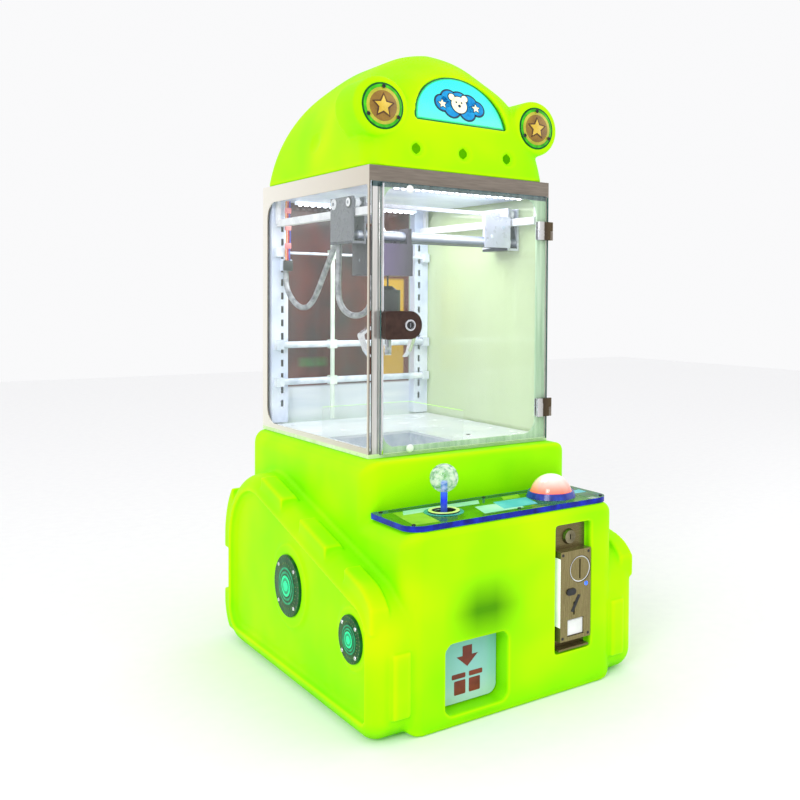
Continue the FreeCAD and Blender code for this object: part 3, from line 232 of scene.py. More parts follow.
LOOKS = {
    "lime": lime_plastic("lime"),
    "lime_base": lime_plastic("lime_base", shaded=True),
    "glass": clear_sheet("clear_glass", (226, 240, 234), (0.04, 0.08)),
    "glass_edge": surface("glass_edge", (10, 48, 52), (28, 88, 84), rough=(0.1, 0.2)),
    "white": surface("white_laminate", (226, 234, 244), (246, 249, 252), 12, rough=(0.18, 0.3)),
    "white_enamel": surface("white_enamel", (222, 226, 234), (244, 247, 250), 30, rough=(0.3, 0.42)),
    "steel": brushed("brushed_steel", (142, 144, 150), (202, 204, 210)),
    "chrome": surface("chrome", (205, 207, 212), (232, 234, 238), 40, rough=(0.06, 0.14), metal=1.0,
                      bump=0.03),
    "black": surface("black_plastic", (14, 14, 16), (32, 33, 36), 80, rough=(0.35, 0.5)),
}


def banded_steel(name):
    """Powder-coated sheet: warm beige on the sides, and a painted shade of deeper grey-brown on faces
    turned to the front.
    """
    look = Look(name, Metallic=0.35, Roughness=0.4)
    normal = look.node("ShaderNodeNewGeometry").outputs["Normal"]
    # Painted shade: faces turned to the front take the darker grey-brown.
    ahead = look.span(look.node("ShaderNodeSeparateXYZ", {"Vector": normal}).outputs["Y"], -0.4, -0.8)
    length = look.span(look.axis("Y"), 0.28, -0.12)
    side = look.ramp(length, [(0.0, (236, 232, 222)), (1.0, (206, 198, 184))])
    front = look.ramp(look.noise(30, (1, 1, 12)), [(0.3, (116, 106, 96)), (0.7, (134, 124, 113))])
    look.set("Base Color", look.blend(ahead, side, front))
    look.bump(look.noise(700), 0.06, 0.0003)
    return look


def front_sheet(name):
    """The cabinet's front frame: painted shade as a dark strip on top, a painted reflection of the lime
    body as the green tint of the border below, warm metal at the left.
    """
    look = Look(name, Roughness=0.16)
    streaks = look.noise(22, (6, 1, 0.3))
    # Painted reflection of the lime body: the green tint of the lower border.
    green = look.ramp(streaks, [(0.3, (146, 186, 142)), (0.7, (196, 222, 190))])
    steel = look.ramp(streaks, [(0.3, (198, 194, 188)), (0.7, (232, 230, 228))])
    # Painted shade: the dark strip along the top.
    dark = look.ramp(streaks, [(0.3, (46, 66, 68)), (0.7, (96, 116, 118))])
    post = look.span(look.axis("X"), -0.1435, -0.1425, 1, 0)
    head = look.span(look.axis("Z"), 0.7555, 0.7565)
    look.set("Base Color", look.blend(head, look.blend(post, green, steel), dark))
    look.set("Metallic", look.maths("MULTIPLY", post, 0.7))
    look.bump(look.noise(500), 0.05, 0.0003)
    return look


def back_panel(name):
    """Dark tinted mirror with its reflections painted in: uneven reddish tones, a yellow block and a green
    streak; a pale green band at its right edge, white laminate below it.
    """
    look = Look(name, Roughness=0.12, Specular_IOR_Level=0.3)
    # Painted reflections: the reddish clouds, the yellow block and the green streak below.
    cloud = look.noise(9, (1, 1, 0.7), 5.0, 0.6)
    tint = look.ramp(cloud, [(0.3, (44, 36, 40)), (0.48, (88, 42, 40)), (0.62, (112, 56, 50)),
                             (0.8, (72, 62, 68))])
    yellow = look.maths("MULTIPLY", look.within(look.axis("X"), 0.070, 0.116, 0.002),
                        look.within(look.axis("Z"), 0.442, 0.630, 0.003))
    tint = look.blend(yellow, tint, tone(196, 154, 44))
    painted_streak_reflection = look.maths("MULTIPLY", look.within(look.axis("Z"), 0.466, 0.482, 0.003),
                      look.within(look.axis("X"), -0.101, -0.048, 0.006))
    tint = look.blend(look.maths("MULTIPLY", painted_streak_reflection, look.noise(60)), tint, tone(40, 130, 60))
    side = look.span(look.axis("X"), 0.126, 0.130)
    pale = look.ramp(look.noise(5, (1, 1, 12)), [(0.3, (212, 222, 236)), (0.7, (236, 241, 248))])
    low = look.span(look.axis("Z"), 0.428, 0.432, 1, 0)
    tint = look.blend(side, tint, tone(176, 196, 180))
    look.set("Base Color", look.blend(low, tint, pale))
    look.bump(look.noise(300), 0.03, 0.0003)
    return look


def graded(name, letter, stops, low, high, rough=0.35, **values):
    """A finish whose colour runs along one axis between two places, lightly mottled."""
    look = Look(name, **values)
    along = look.span(look.axis(letter), low, high)
    drift = look.maths("ADD", along, look.span(look.noise(70), 0, 1, -0.06, 0.06))
    colour = look.ramp(drift, stops)
    look.set("Base Color", colour)
    if "Emission_Strength" in values:
        look.set("Emission Color", colour)
    look.set("Roughness", look.span(look.noise(90), 0.3, 0.7, rough * 0.8, rough * 1.2))
    look.bump(look.noise(800), 0.05, 0.0003)
    return look


def lit(name, dark, light, strength, grain=60):
    """A plastic part lit from behind: mottled colour that also glows."""
    look = Look(name, Roughness=0.35, Specular_IOR_Level=0.2)
    colour = look.ramp(look.noise(grain), [(0.3, dark), (0.7, light)])
    look.set("Base Color", colour)
    look.set("Emission Color", colour)
    look.shader.inputs["Emission Strength"].default_value = strength
    look.bump(look.noise(500), 0.06, 0.0003)
    return look


def crystal(name):
    """Faceted clear plastic: pale facets with painted glints of white and painted dark reflections of faint
    cool green.
    """
    look = Look(name, IOR=1.45, Roughness=0.04, Specular_IOR_Level=0.8)
    gloss = look.node("ShaderNodeLayerWeight", {"Blend": 0.35}).outputs["Facing"]
    # Painted glints and reflections: noise spots of white and of darker cool green over the facets.
    painted_glint_speck = look.noise(140, detail=4.0)
    core = look.ramp(painted_glint_speck, [(0.38, (112, 160, 140)), (0.5, (214, 230, 226)),
                             (0.62, (255, 255, 255))])
    look.set("Base Color", core)
    look.set("Alpha", look.span(gloss, 0.0, 0.9, 0.42, 0.86))
    look.bump(look.noise(240), 0.2, 0.0004)
    return look


LOOKS.update({
    "band": banded_steel("band_steel"),
    "front_sheet": front_sheet("front_sheet"),
    "back_panel": back_panel("back_panel"),
    "foot": surface("pale_foot", (196, 226, 150), (226, 240, 206), 20, rough=(0.2, 0.3)),
    # Painted reflection: the right pane's pale green and high opacity.
    "right_pane_painted_reflection": clear_sheet("right_pane_painted_reflection", (204, 224, 176), (0.62, 0.74)),
    "post": surface("blue_white", (196, 208, 236), (232, 238, 250), 18, rough=(0.3, 0.4)),
    "gloss_white": surface("gloss_white", (184, 196, 214), (236, 242, 250), 40, rough=(0.08, 0.16)),
    "pole": surface("pole", (206, 224, 208), (234, 244, 236), 20, rough=(0.1, 0.2)),
    "ceiling": lit("ceiling", (206, 216, 236), (234, 240, 250), 0.12, 12),
    "led": lit("led", (214, 226, 250), (244, 248, 255), 0.7, 200),
    "chip": lit("led_chip", (236, 244, 255), (255, 255, 255), 7.0, 200),
    "guard": clear_sheet("guard_glass", (224, 236, 230), (0.08, 0.14)),
    "lime_edge": lit("lime_edge", (130, 225, 20), (190, 250, 60), 0.7),
    "bronze": surface("bronze", (52, 34, 28), (72, 50, 42), 90, rough=(0.28, 0.42), metal=0.5),
    "clamp": graded("clamp_metal", "X", [(0.0, (214, 214, 216)), (0.32, (186, 184, 180)),
                                         (0.36, (70, 58, 44)), (1.0, (96, 82, 60))],
                    0.139, 0.169, rough=0.25, Metallic=0.8),
    "dull_chrome": surface("dull_chrome", (104, 98, 76), (150, 142, 112), 60, rough=(0.16, 0.26),
                           metal=0.9),
    "bumper": surface("bumper", (230, 232, 232), (250, 250, 250), 40, rough=(0.4, 0.5)),
    "nylon": surface("nylon", (214, 216, 222), (242, 243, 246), 40, rough=(0.35, 0.45)),
    "grey": surface("grey_plastic", (118, 122, 130), (156, 160, 168), 40),
    "lavender": graded("bracket", "X", [(0.0, (112, 114, 122)), (0.3, (150, 152, 162)),
                                        (0.8, (200, 203, 222)), (1.0, (214, 217, 234))],
                       -0.157, 0.14, rough=0.3, Metallic=0.3),
    # Painted highlight and shade: the cross tubes run dark at top and bottom, white along the middle.
    "tube_painted_highlight": graded("tube_painted_highlight", "Z", [(0.0, (48, 52, 66)), (0.3, (140, 148, 172)),
                                             (0.55, (240, 244, 252)), (0.8, (140, 150, 176)),
                                             (1.0, (60, 68, 88))], 0.682, 0.698, rough=0.2),
    "purple": graded("purple_case", "X", [(0.0, (54, 50, 60)), (0.3, (112, 96, 134)),
                                          (0.75, (92, 80, 104)), (1.0, (60, 58, 66))],
                     -0.126, -0.054),
    "conduit": surface("conduit", (96, 98, 104), (184, 186, 192), 90, rough=(0.3, 0.42), metal=0.3),
    "red_wire": surface("red_wire", (176, 20, 24), (214, 50, 46), 80),
    "pink_wire": surface("pink_tape", (226, 120, 128), (244, 160, 156), 80),
    "blue_wire": surface("blue_wire", (52, 60, 170), (90, 90, 200), 80),
    "orange_wire": surface("orange_wire", (216, 120, 40), (238, 160, 80), 80),
    "deck": clear_sheet("deck_acrylic", (96, 176, 40), (0.40, 0.52)),
    "deck_edge": lit("deck_edge", (8, 18, 104), (20, 44, 186), 0.2),
    "mint": surface("mint_print", (150, 226, 196), (190, 238, 214), 30),
    "cyan": surface("cyan_print", (70, 190, 205), (110, 214, 222), 30),
    "deep_green": surface("deep_green_print", (16, 84, 30), (40, 130, 40), 30),
    "teal_print": surface("teal_print", (20, 92, 128), (40, 130, 156), 30),
    "leaf_print": surface("leaf_print", (120, 190, 30), (160, 214, 60), 30),
    "crystal": crystal("crystal"),
    "blue_glow": graded("stick_steel", "Z", [(0.0, (60, 90, 160)), (0.5, (12, 44, 226)),
                                             (1.0, (60, 120, 240))], 0.286, 0.322,
                        rough=0.2, Metallic=0.2, Emission_Strength=0.35),
    "ring_lime": lit("ring_lime", (196, 236, 120), (226, 246, 170), 0.2),
    "ring_teal": surface("ring_teal", (30, 150, 140), (70, 190, 176), 40),
    "dome": graded("button_dome", "Z", [(0.0, (255, 86, 40)), (0.35, (255, 150, 128)),
                                        (0.7, (255, 206, 196)), (1.0, (255, 246, 242))],
                   0.290, 0.321, rough=0.14, Coat_Weight=0.6, Emission_Strength=0.22),
    "blue_ring": surface("blue_ring", (18, 30, 130), (40, 70, 190), 60, rough=(0.15, 0.25)),
    "coin_steel": brushed("coin_steel", (98, 86, 50), (130, 118, 78), "X", metal=0.6),
    "coin_pale": brushed("coin_pale", (116, 104, 62), (150, 138, 94), "Z", metal=0.6),
    # Painted highlight: the glowing white of the coin acceptor's lit side wall.
    "strip_painted_highlight": lit("strip_painted_highlight", (236, 240, 240), (255, 255, 255), 0.3),
    "blue_led": lit("blue_led", (20, 60, 240), (60, 110, 255), 2.0, 300),
    "white_flap": surface("white_flap", (224, 226, 226), (246, 247, 247), 40),
    "flap": graded("flap_sheet", "Z", [(0.0, (196, 222, 226)), (0.4, (150, 205, 208)),
                                       (1.0, (128, 192, 198))], 0.018, 0.112, rough=0.15),
    "print_red": surface("print_red", (104, 30, 18), (142, 48, 28), 40),
    "pod_green": lit("pod_green", (4, 60, 24), (12, 92, 40), 0.15, 120),
    "pod_tick": surface("pod_tick", (60, 92, 20), (110, 130, 40), 60),
    "pod_teal": lit("pod_teal", (0, 120, 78), (0, 168, 112), 0.35, 120),
    "pod_core": lit("pod_core", (0, 196, 128), (20, 226, 150), 0.5, 120),
    "star_green": lit("star_green", (30, 130, 20), (70, 190, 20), 0.3, 90),
    "olive_gold": surface("olive_gold", (168, 168, 30), (204, 196, 60), 50, rough=(0.2, 0.3)),
    "brown_gold": surface("brown_gold", (126, 92, 26), (160, 122, 40), 50, rough=(0.2, 0.3)),
    "star_line": surface("star_line", (70, 40, 12), (96, 60, 20), 50),
    "star_gold": surface("star_gold", (206, 170, 40), (238, 208, 90), 50, rough=(0.15, 0.25)),
    "marquee_rim": surface("marquee_rim", (4, 92, 40), (10, 130, 60), 50, rough=(0.15, 0.25)),
    "marquee_line": lit("marquee_line", (30, 196, 120), (60, 220, 150), 0.3, 90),
    "marquee_face": graded("marquee_face", "Z", [(0.0, (90, 222, 196)), (0.5, (60, 226, 214)),
                                                 (1.0, (30, 206, 214))], 0.866, 0.94,
                           rough=0.2, Emission_Strength=0.35),
    "badge_navy": surface("badge_navy", (10, 40, 70), (20, 66, 100), 60),
    "badge_blue": lit("badge_blue", (0, 120, 190), (30, 160, 214), 0.2, 90),
    "badge_cream": lit("badge_cream", (250, 246, 190), (255, 252, 220), 0.3, 90),
})


# ---------------------------------------------------------------- geometry helpers

def finish_mesh(bm, name, looks, angle=38):
    """A mesh object from a bmesh, smooth except at edges sharper than the angle."""
    bmesh.ops.recalc_face_normals(bm, faces=bm.faces)
    mesh = bpy.data.meshes.new(name)
    bm.to_mesh(mesh)
    bm.free()
    for look in looks:
        mesh.materials.append(LOOKS[look].material)
    mesh.polygons.foreach_set("use_smooth", [True] * len(mesh.polygons))
    mesh.set_sharp_from_angle(angle=math.radians(angle))
    made = bpy.data.objects.new(name, mesh)
    scene.collection.objects.link(made)
    return made


# Stands a flat outline of (x, z) points upright, its face to the machine's front.
UPRIGHT = Matrix(((1, 0, 0, 0), (0, 0, -1, 0), (0, 1, 0, 0), (0, 0, 0, 1)))


def facing(origin, direction):
    """A placement whose local Z points along a direction."""
    turn = Vector(direction).to_track_quat("Z", "Y").to_matrix().to_4x4()
    return Matrix.Translation(origin) @ turn


class Piece:
    """One visible piece, gathered from rounded boxes, turned shapes, plates and tubes."""

    def __init__(self, name, *looks):
        self.name = name
        self.looks = looks
        self.bm = bmesh.new()

    def add(self, part, look, place=None):
        """Add a part's mesh, in its own look and place."""
        if place is not None:
            bmesh.ops.transform(part, matrix=place, verts=part.verts)
        for face in part.faces:
            face.material_index = look
        mesh = bpy.data.meshes.new("part")
        part.to_mesh(mesh)
        part.free()
        self.bm.from_mesh(mesh)
        bpy.data.meshes.remove(mesh)
        return self

    def box(self, low, high, round_off=0.0008, look=0, place=None):
        """A box between two corners with rounded edges."""
        part = bmesh.new()
        bmesh.ops.create_cube(part, size=1)
        centre = [(a + b) / 2 for a, b in zip(low, high)]
        scale = [b - a for a, b in zip(low, high)]
        for vert in part.verts:
            vert.co = Vector([c + s * v for c, s, v in zip(centre, scale, vert.co)])
        if round_off:
            bmesh.ops.bevel(part, geom=part.edges[:], offset=round_off, segments=2,
                            profile=0.5, affect="EDGES")
        return self.add(part, look, place)

    def turned(self, profile, origin, direction, look=0, sides=48, hollow=False):
        """A shape turned round an axis from (radius, height) points; a hollow one is a closed ring."""
        part = bmesh.new()
        rings = []
        for radius, height in profile:
            if radius < 1e-6:
                rings.append([part.verts.new((0, 0, height))])
                continue
            rings.append([part.verts.new((radius * math.cos(2 * math.pi * side / sides),
                                          radius * math.sin(2 * math.pi * side / sides), height))
                          for side in range(sides)])
        for lower, upper in zip(rings, rings[1:] + rings[:1] if hollow else rings[1:]):
            for side in range(sides):
                beside = (side + 1) % sides
                corners = [lower[side % len(lower)], lower[beside % len(lower)],
                           upper[beside % len(upper)], upper[side % len(upper)]]
                part.faces.new(list(dict.fromkeys(corners)))
        for ring, flip in ((rings[0], True), (rings[-1], False)):
            if len(ring) > 1 and not hollow:
                part.faces.new(ring[::-1] if flip else ring)
        return self.add(part, look, facing(origin, direction))

    def plate(self, outline, thick, place, look=0, round_off=0.0005):
        """A flat outline of (u, v) points given a thickness and eased edges."""
        part = bmesh.new()
        base = part.faces.new([part.verts.new((u, v, 0)) for u, v in outline])
        grown = bmesh.ops.extrude_face_region(part, geom=[base])
        for item in grown["geom"]:
            if isinstance(item, bmesh.types.BMVert):
                item.co.z += thick
        if round_off:
            rims = [edge for edge in part.edges
                    if abs(edge.verts[0].co.z - edge.verts[1].co.z) < 1e-7]
            bmesh.ops.bevel(part, geom=rims, offset=round_off, segments=2, profile=0.5, affect="EDGES")
        return self.add(part, look, place)

    def tube(self, points, radius, look=0, sides=12, steps=8, ribs=False):
        """A round tube through smooth points, ribbed where it is a corrugated one."""
        path = smooth_path(points, steps)
        part = bmesh.new()
        rings = []
        side_axis = None
        for index, point in enumerate(path):
            ahead = (path[min(index + 1, len(path) - 1)] - path[max(index - 1, 0)]).normalized()
            if side_axis is None:
                side_axis = ahead.orthogonal().normalized()
            side_axis = (side_axis - ahead * side_axis.dot(ahead)).normalized()
            other = ahead.cross(side_axis)
            reach = radius * (0.93 if ribs and index % 3 == 2 else 1)
            rings.append([part.verts.new(point + reach * (side_axis * math.cos(2 * math.pi * k / sides)
                                                           + other * math.sin(2 * math.pi * k / sides)))
                          for k in range(sides)])
        for lower, upper in zip(rings, rings[1:]):
            for k in range(sides):
                part.faces.new((lower[k], lower[(k + 1) % sides], upper[(k + 1) % sides], upper[k]))
        part.faces.new(rings[0][::-1])
        part.faces.new(rings[-1])
        return self.add(part, look)

    def done(self, body, slot, *replaced, angle=38):
        """The finished piece, riding on a body in the place of the nodes that it replaces."""
        made = finish_mesh(self.bm, self.name, self.looks, angle)
        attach(made, body)
        if replaced:
            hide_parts(*replaced)


def smooth_path(points, steps):
    """Points along a smooth curve that passes through the given ones."""
    corners = [Vector(point) for point in points]
    if len(corners) == 2 or steps == 1:
        return corners
    line = []
    for index in range(len(corners) - 1):
        before = corners[max(index - 1, 0)]
        start, end = corners[index], corners[index + 1]
        after = corners[min(index + 2, len(corners) - 1)]
        for step in range(steps):
            t = step / steps
            line.append(0.5 * (2 * start + (end - before) * t
                               + (2 * before - 5 * start + 4 * end - after) * t * t
                               + (3 * start - before - 3 * end + after) * t ** 3))
    line.append(corners[-1])
    return line


def rounded(u_low, u_high, v_low, v_high, radius, steps=6):
    """Outline points of a rectangle with rounded corners."""
    points = []
    for u, v, start in ((u_high - radius, v_high - radius, 0), (u_low + radius, v_high - radius, 90),
                        (u_low + radius, v_low + radius, 180), (u_high - radius, v_low + radius, 270)):
        for step in range(steps + 1):
            angle = math.radians(start + 90 * step / steps)
            points.append((u + radius * math.cos(angle), v + radius * math.sin(angle)))
    return points


def dress(node, look, bevel=0.0, other=None, test=None):
    """Give a CAD node its look, softened edges, and a second look on the faces that pass a test."""
    made = cad[node]
    made.data.materials.clear()
    made.data.materials.append(LOOKS[look].material)
    if other:
        made.data.materials.append(LOOKS[other].material)
        for face in made.data.polygons:
            face.material_index = 1 if test(face) else 0
    if bevel:
        modifier = made.modifiers.new("eased edges", "BEVEL")
        modifier.width = bevel
        modifier.segments = 2
        modifier.limit_method = "ANGLE"
        modifier.angle_limit = math.radians(40)


def softened(node, name, look, voxel, passes):
    """A moulded skin over a CAD node: remeshed, then smoothed so that its parts flow together."""
    source = cad[node]
    copy = bpy.data.objects.new(name + "_work", source.data.copy())
    scene.collection.objects.link(copy)
    remesh = copy.modifiers.new("voxels", "REMESH")
    remesh.mode = "VOXEL"
    remesh.voxel_size = voxel
    smooth = copy.modifiers.new("flow", "SMOOTH")
    smooth.factor = 0.5
    smooth.iterations = passes
    graph = bpy.context.evaluated_depsgraph_get()
    mesh = bpy.data.meshes.new_from_object(copy.evaluated_get(graph))
    bpy.data.objects.remove(copy)
    mesh.name = name
    mesh.materials.clear()
    mesh.materials.append(LOOKS[look].material)
    mesh.polygons.foreach_set("use_smooth", [True] * len(mesh.polygons))
    made = bpy.data.objects.new(name, mesh)
    scene.collection.objects.link(made)
    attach(made, "machine")
    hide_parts(node)


# ---------------------------------------------------------------- room and light

def add_room():
    """A pale floor just below the machine and an even pale studio round it."""
    mesh = bpy.data.meshes.new("floor")
    reach, level = 6, -0.0005
    mesh.from_pydata([(-reach, -reach, level), (reach, -reach, level), (reach, reach, level),
                      (-reach, reach, level)], [], [(0, 1, 2, 3)])
    floor = bpy.data.objects.new("floor", mesh)
    scene.collection.objects.link(floor)
    look = surface("pale_floor", (247, 247, 248), (250, 250, 250), 40, rough=(0.8, 0.9), bump=0.02,
                   Specular_IOR_Level=0.1)
    mesh.materials.append(look.material)
    world = bpy.data.worlds.new("studio")
    world.use_nodes = True
    sky = world.node_tree.nodes["Background"]
    sky.inputs["Color"].default_value = tone(252, 252, 253)
    sky.inputs["Strength"].default_value = 0.98
    scene.world = world


def add_light(name, place, aim, size, power):
    """A soft rectangular lamp at a place, turned towards what it lights."""
    data = bpy.data.lights.new(name, "AREA")
    data.shape = "RECTANGLE"
    data.size, data.size_y = size
    data.energy = power
    lamp = bpy.data.objects.new(name, data)
    lamp.matrix_world = facing(place, Vector(place) - Vector(aim))
    scene.collection.objects.link(lamp)


add_room()
add_light("key", (-2.4, -1.8, 1.9), (0, 0, 0.5), (1.2, 1.2), 34)
add_light("fill", (2.4, -1.4, 1.6), (0, 0, 0.5), (2.0, 2.0), 8)
add_light("cabinet_glow", (0, 0.06, 0.755), (0, 0.06, 0.4), (0.24, 0.30), 1.1)


# ---------------------------------------------------------------- moulded shells

softened("base_shell", "base_moulding", "lime_base", 0.0030, 3)
softened("hood_shell", "hood_moulding", "lime", 0.0028, 4)
dress("service_door", "lime", 0.0015)


# ---------------------------------------------------------------- screws

def pan_heads(name, look, spots, radius=0.003, height=0.0016):
    """Pan-head screws with a socket, one per (origin, direction)."""
    heads = Piece(name, look, "black")
    for origin, direction in spots:
        heads.turned([(radius, 0), (radius, height * 0.45), (radius * 0.8, height * 0.9),
                      (radius * 0.35, height), (radius * 0.35, height * 0.5), (0, height * 0.5)],
                     origin, direction, 0, 20)
    heads.done("machine", "dark_steel", "cover_screws")


def upright_circle(centre, across, radius, count, start):
    """Places spaced evenly on an upright circle, where across is its level direction."""
    angles = [math.radians(start + 360 / count * step) for step in range(count)]
    return [Vector(centre) + radius * (math.cos(angle) * Vector(across) + Vector((0, 0, math.sin(angle))))
            for angle in angles]


SIDES = ((-1, "left"), (1, "right"))
POD_LAMPS = (("rear", 0.008, 0.150, 0.047), ("front", -0.203, 0.128, 0.033))
pod_face = 0.235
star_x, star_z, star_radius = 0.142, 0.875, 0.034
star_front = -0.124
screw_share = 0.84  # of a lamp's radius, from its centre to its screws
panel_top = 0.286


def cover_screws():
    """The screws of the pod lamps, the control panel and the star lamps."""
    pod_spots = []
    star_spots = []
    for side, _ in SIDES:
        for _, y, z, radius in POD_LAMPS:
            pod_spots += [(spot, (side, 0, 0)) for spot in upright_circle(
                (side * pod_face, y, z), (0, 1, 0), screw_share * radius, 4, 45)]
        star_spots += [(spot, (0, -1, 0)) for spot in upright_circle(
            (side * star_x, star_front + 0.001, star_z), (1, 0, 0), screw_share * star_radius, 3, 90)]
    pan_heads("pod_screws", "chrome", pod_spots)
    pan_heads("deck_screws", "black", [((x, y, panel_top), (0, 0, 1))
                                       for x in (-0.168, 0.010, 0.168) for y in (-0.260, -0.167)])
    pan_heads("hood_screws", "black", star_spots)


cover_screws()


# ---------------------------------------------------------------- pod lamps

def pod_lamp(hand, side, end, y, z, radius):
    """A round lamp: dark rim with ticks, then teal rings that step up to a bright core."""
    lamp = Piece(f"pod_lamp_{hand}_{end}", "pod_green", "pod_tick", "pod_teal", "pod_core")
    seat = (side * (pod_face - 0.004), y, z)
    out = (side, 0, 0)
    lamp.turned([(radius, 0), (radius, 0.0032), (radius - 0.001, 0.004), (radius * 0.66, 0.004),
                 (radius * 0.64, 0.0044), (0, 0.0044)], seat, out, 0, 64)
    for step, (share, look) in enumerate([(0.60, 2), (0.54, 0), (0.47, 2), (0.40, 0), (0.34, 3),
                                          (0.26, 2), (0.17, 3)]):
        low = 0.0043 + 0.00018 * step
        lamp.turned([(radius * share, low), (radius * share, low + 0.00022), (0, low + 0.00022)],
                    seat, out, look, 48)
    ticks = 34
    for tick in range(ticks):
        turn = facing(seat, out) @ Matrix.Rotation(2 * math.pi * tick / ticks, 4, "Z")
        lamp.box((radius * 0.90, -0.0006, 0.0036), (radius * 0.96, 0.0006, 0.0042), 0, 1, turn)
        lamp.box((radius * 0.70, -0.0005, 0.0036), (radius * 0.77, 0.0005, 0.0042), 0, 1, turn)
    lamp.done("machine", "pod_lens", f"track_lamp_{hand}_{end}")


for side, hand in SIDES:
    for end, y, z, radius in POD_LAMPS:
        pod_lamp(hand, side, end, y, z, radius)


# ---------------------------------------------------------------- star lamps and marquee

def star_outline(outer, inner):
    """Outline points of a five-pointed star, its first point up."""
    line = []
    for step in range(10):
        reach = outer if step % 2 == 0 else inner
        angle = math.pi / 2 + math.pi * step / 5
        line.append((reach * math.cos(angle), reach * math.sin(angle)))
    return line


def star_lamp(hand, side):
    """A round hood lamp: dark rim, green ring and gold discs behind a raised star."""
    lamp = Piece(f"star_lens_{hand}", "pod_green", "star_green", "olive_gold", "brown_gold",
                 "star_line", "star_gold")
    seat = (side * star_x, star_front + 0.007, star_z)
    out = (0, -1, 0)
    for share, low, high, look in ((1.0, 0.0, 0.0042, 0), (0.93, 0.004, 0.0046, 1),
                                   (0.80, 0.0044, 0.005, 2), (0.66, 0.0048, 0.0054, 3)):
        rim = star_radius * share
        lamp.turned([(rim, low), (rim, high - 0.0002), (rim - 0.0003, high), (0, high)],
                    seat, out, look, 64)
    place = Matrix.Translation((side * star_x, star_front + 0.0018, star_z)) @ UPRIGHT
    lamp.plate(star_outline(0.0195, 0.0098), 0.0009, place, 4, 0.0003)
    lamp.plate(star_outline(0.0155, 0.0072), 0.0016, place, 5, 0.0005)
    lamp.done("machine", "lamp_lens", f"star_lamp_{hand}")


for side, hand in SIDES:
    star_lamp(hand, side)


def half_oval(half, height):
    """Outline points of the upper half of an oval, its flat side on the origin."""
    steps = 28
    return [(half * math.cos(math.pi * step / steps), height * math.sin(math.pi * step / steps))
            for step in range(steps + 1)]


def marquee():
    """The half-oval sign: dark rim, bright line, lit face and a plain toy-bear badge."""
    lean = math.radians(17)
    up = Vector((0, math.sin(lean), math.cos(lean)))
    out = Vector((0, -math.cos(lean), math.sin(lean)))
    origin = Vector((0, -0.108, 0.862)) + out * 0.0032
    place = Matrix.Translation(origin) @ Matrix((Vector((1, 0, 0)), up, out)).transposed().to_4x4()
    sign = Piece("marquee_sign", "marquee_rim", "marquee_line", "marquee_face", "badge_navy", "badge_blue",
                 "badge_cream")
    for half, height, thick, shift, lift, look, ease in (
            (0.0846, 0.0816, 0.0034, 0, 0, 0, 0.0004), (0.0806, 0.0762, 0.0008, 0.0028, 0.0030, 1, 0.0002),
            (0.0782, 0.0725, 0.0008, 0.0046, 0.0034, 2, 0.0002)):
        raised = place @ Matrix.Translation((0, shift, lift))
        sign.plate(half_oval(half, height), thick, raised, look, ease)

    def blob(spots, grow, low, high, look):
        """Discs that run together, each (u, v, radius) grown by a little."""
        for u, v, size in spots:
            radius = size + grow
            centre = place @ Vector((u, v, 0))
            sign.turned([(radius, low), (radius, high), (0, high)], centre, out, look, 32)

    cloud = [(-0.030, 0.034, 0.013), (-0.016, 0.042, 0.015), (0.002, 0.038, 0.018), (0.020, 0.038, 0.015),
             (0.034, 0.032, 0.012), (-0.014, 0.026, 0.014), (0.014, 0.024, 0.014)]
    blob(cloud, 0.0024, 0.004, 0.0046, 3)
    blob(cloud, -0.0006, 0.0042, 0.0050, 4)
    bear = [(-0.012, 0.046, 0.006), (0.012, 0.046, 0.006), (0, 0.034, 0.0145)]
    blob(bear, 0.0012, 0.0048, 0.0054, 3)
    blob(bear, -0.0006, 0.0050, 0.0058, 5)
    blob([(-0.005, 0.038, 0.0016), (0.005, 0.038, 0.0016), (0, 0.032, 0.0026)], 0, 0.0056, 0.0062, 3)
    for hand in (-1, 1):
        star = place @ Matrix.Translation((hand * 0.031, 0.032, 0.0048))
        sign.plate(star_outline(0.0095, 0.0044), 0.0006, star, 3, 0)
        sign.plate(star_outline(0.0072, 0.0033), 0.0010, star, 5, 0)
    sign.done("machine", "marquee", "marquee_lens")


marquee()


# ---------------------------------------------------------------- cabinet

def edge_of_side(face):
    """Whether a face is on the rim of a pane that faces X."""
    return abs(face.normal.x) < 0.5


def edge_of_door(face):
    """Whether a face is on the rim of a pane that faces Y."""
    return abs(face.normal.y) < 0.5


dress("cabinet_top_frame", "band", 0.0008, "ceiling", lambda face: face.normal.z < -0.5)
dress("cabinet_bottom_frame", "foot", 0.0006)
for _, hand in SIDES:
    dress(f"side_frame_{hand}", "band", 0.0004)
    dress(f"rear_post_{hand}", "post", 0.0005)
dress("front_frame", "front_sheet", 0.0004)
dress("side_glass_left", "glass", 0, "glass_edge", edge_of_side)
# Painted reflection in the right pane's pale green.
dress("side_glass_right", "right_pane_painted_reflection", 0, "glass_edge", edge_of_side)
dress("door_glass", "glass", 0, "glass_edge", edge_of_door)
dress("back_mirror", "back_panel", 0.0006, "white_enamel", lambda face: face.normal.y > -0.5)
dress("prize_floor", "white", 0.0006)
dress("chute_guard", "guard", 0, "lime_edge", lambda face: face.center.z > 0.4165)
dress("back_rails", "gloss_white", 0.0006, "pole", lambda face: abs(face.center.x + 0.047) < 0.008)
dress("led_strips", "led", 0.0008)
dress("door_hinge_clamps", "clamp", 0.0008)
dress("door_lock_plate", "bronze", 0.0008)
dress("prize_chute", "gloss_white", 0.0006)


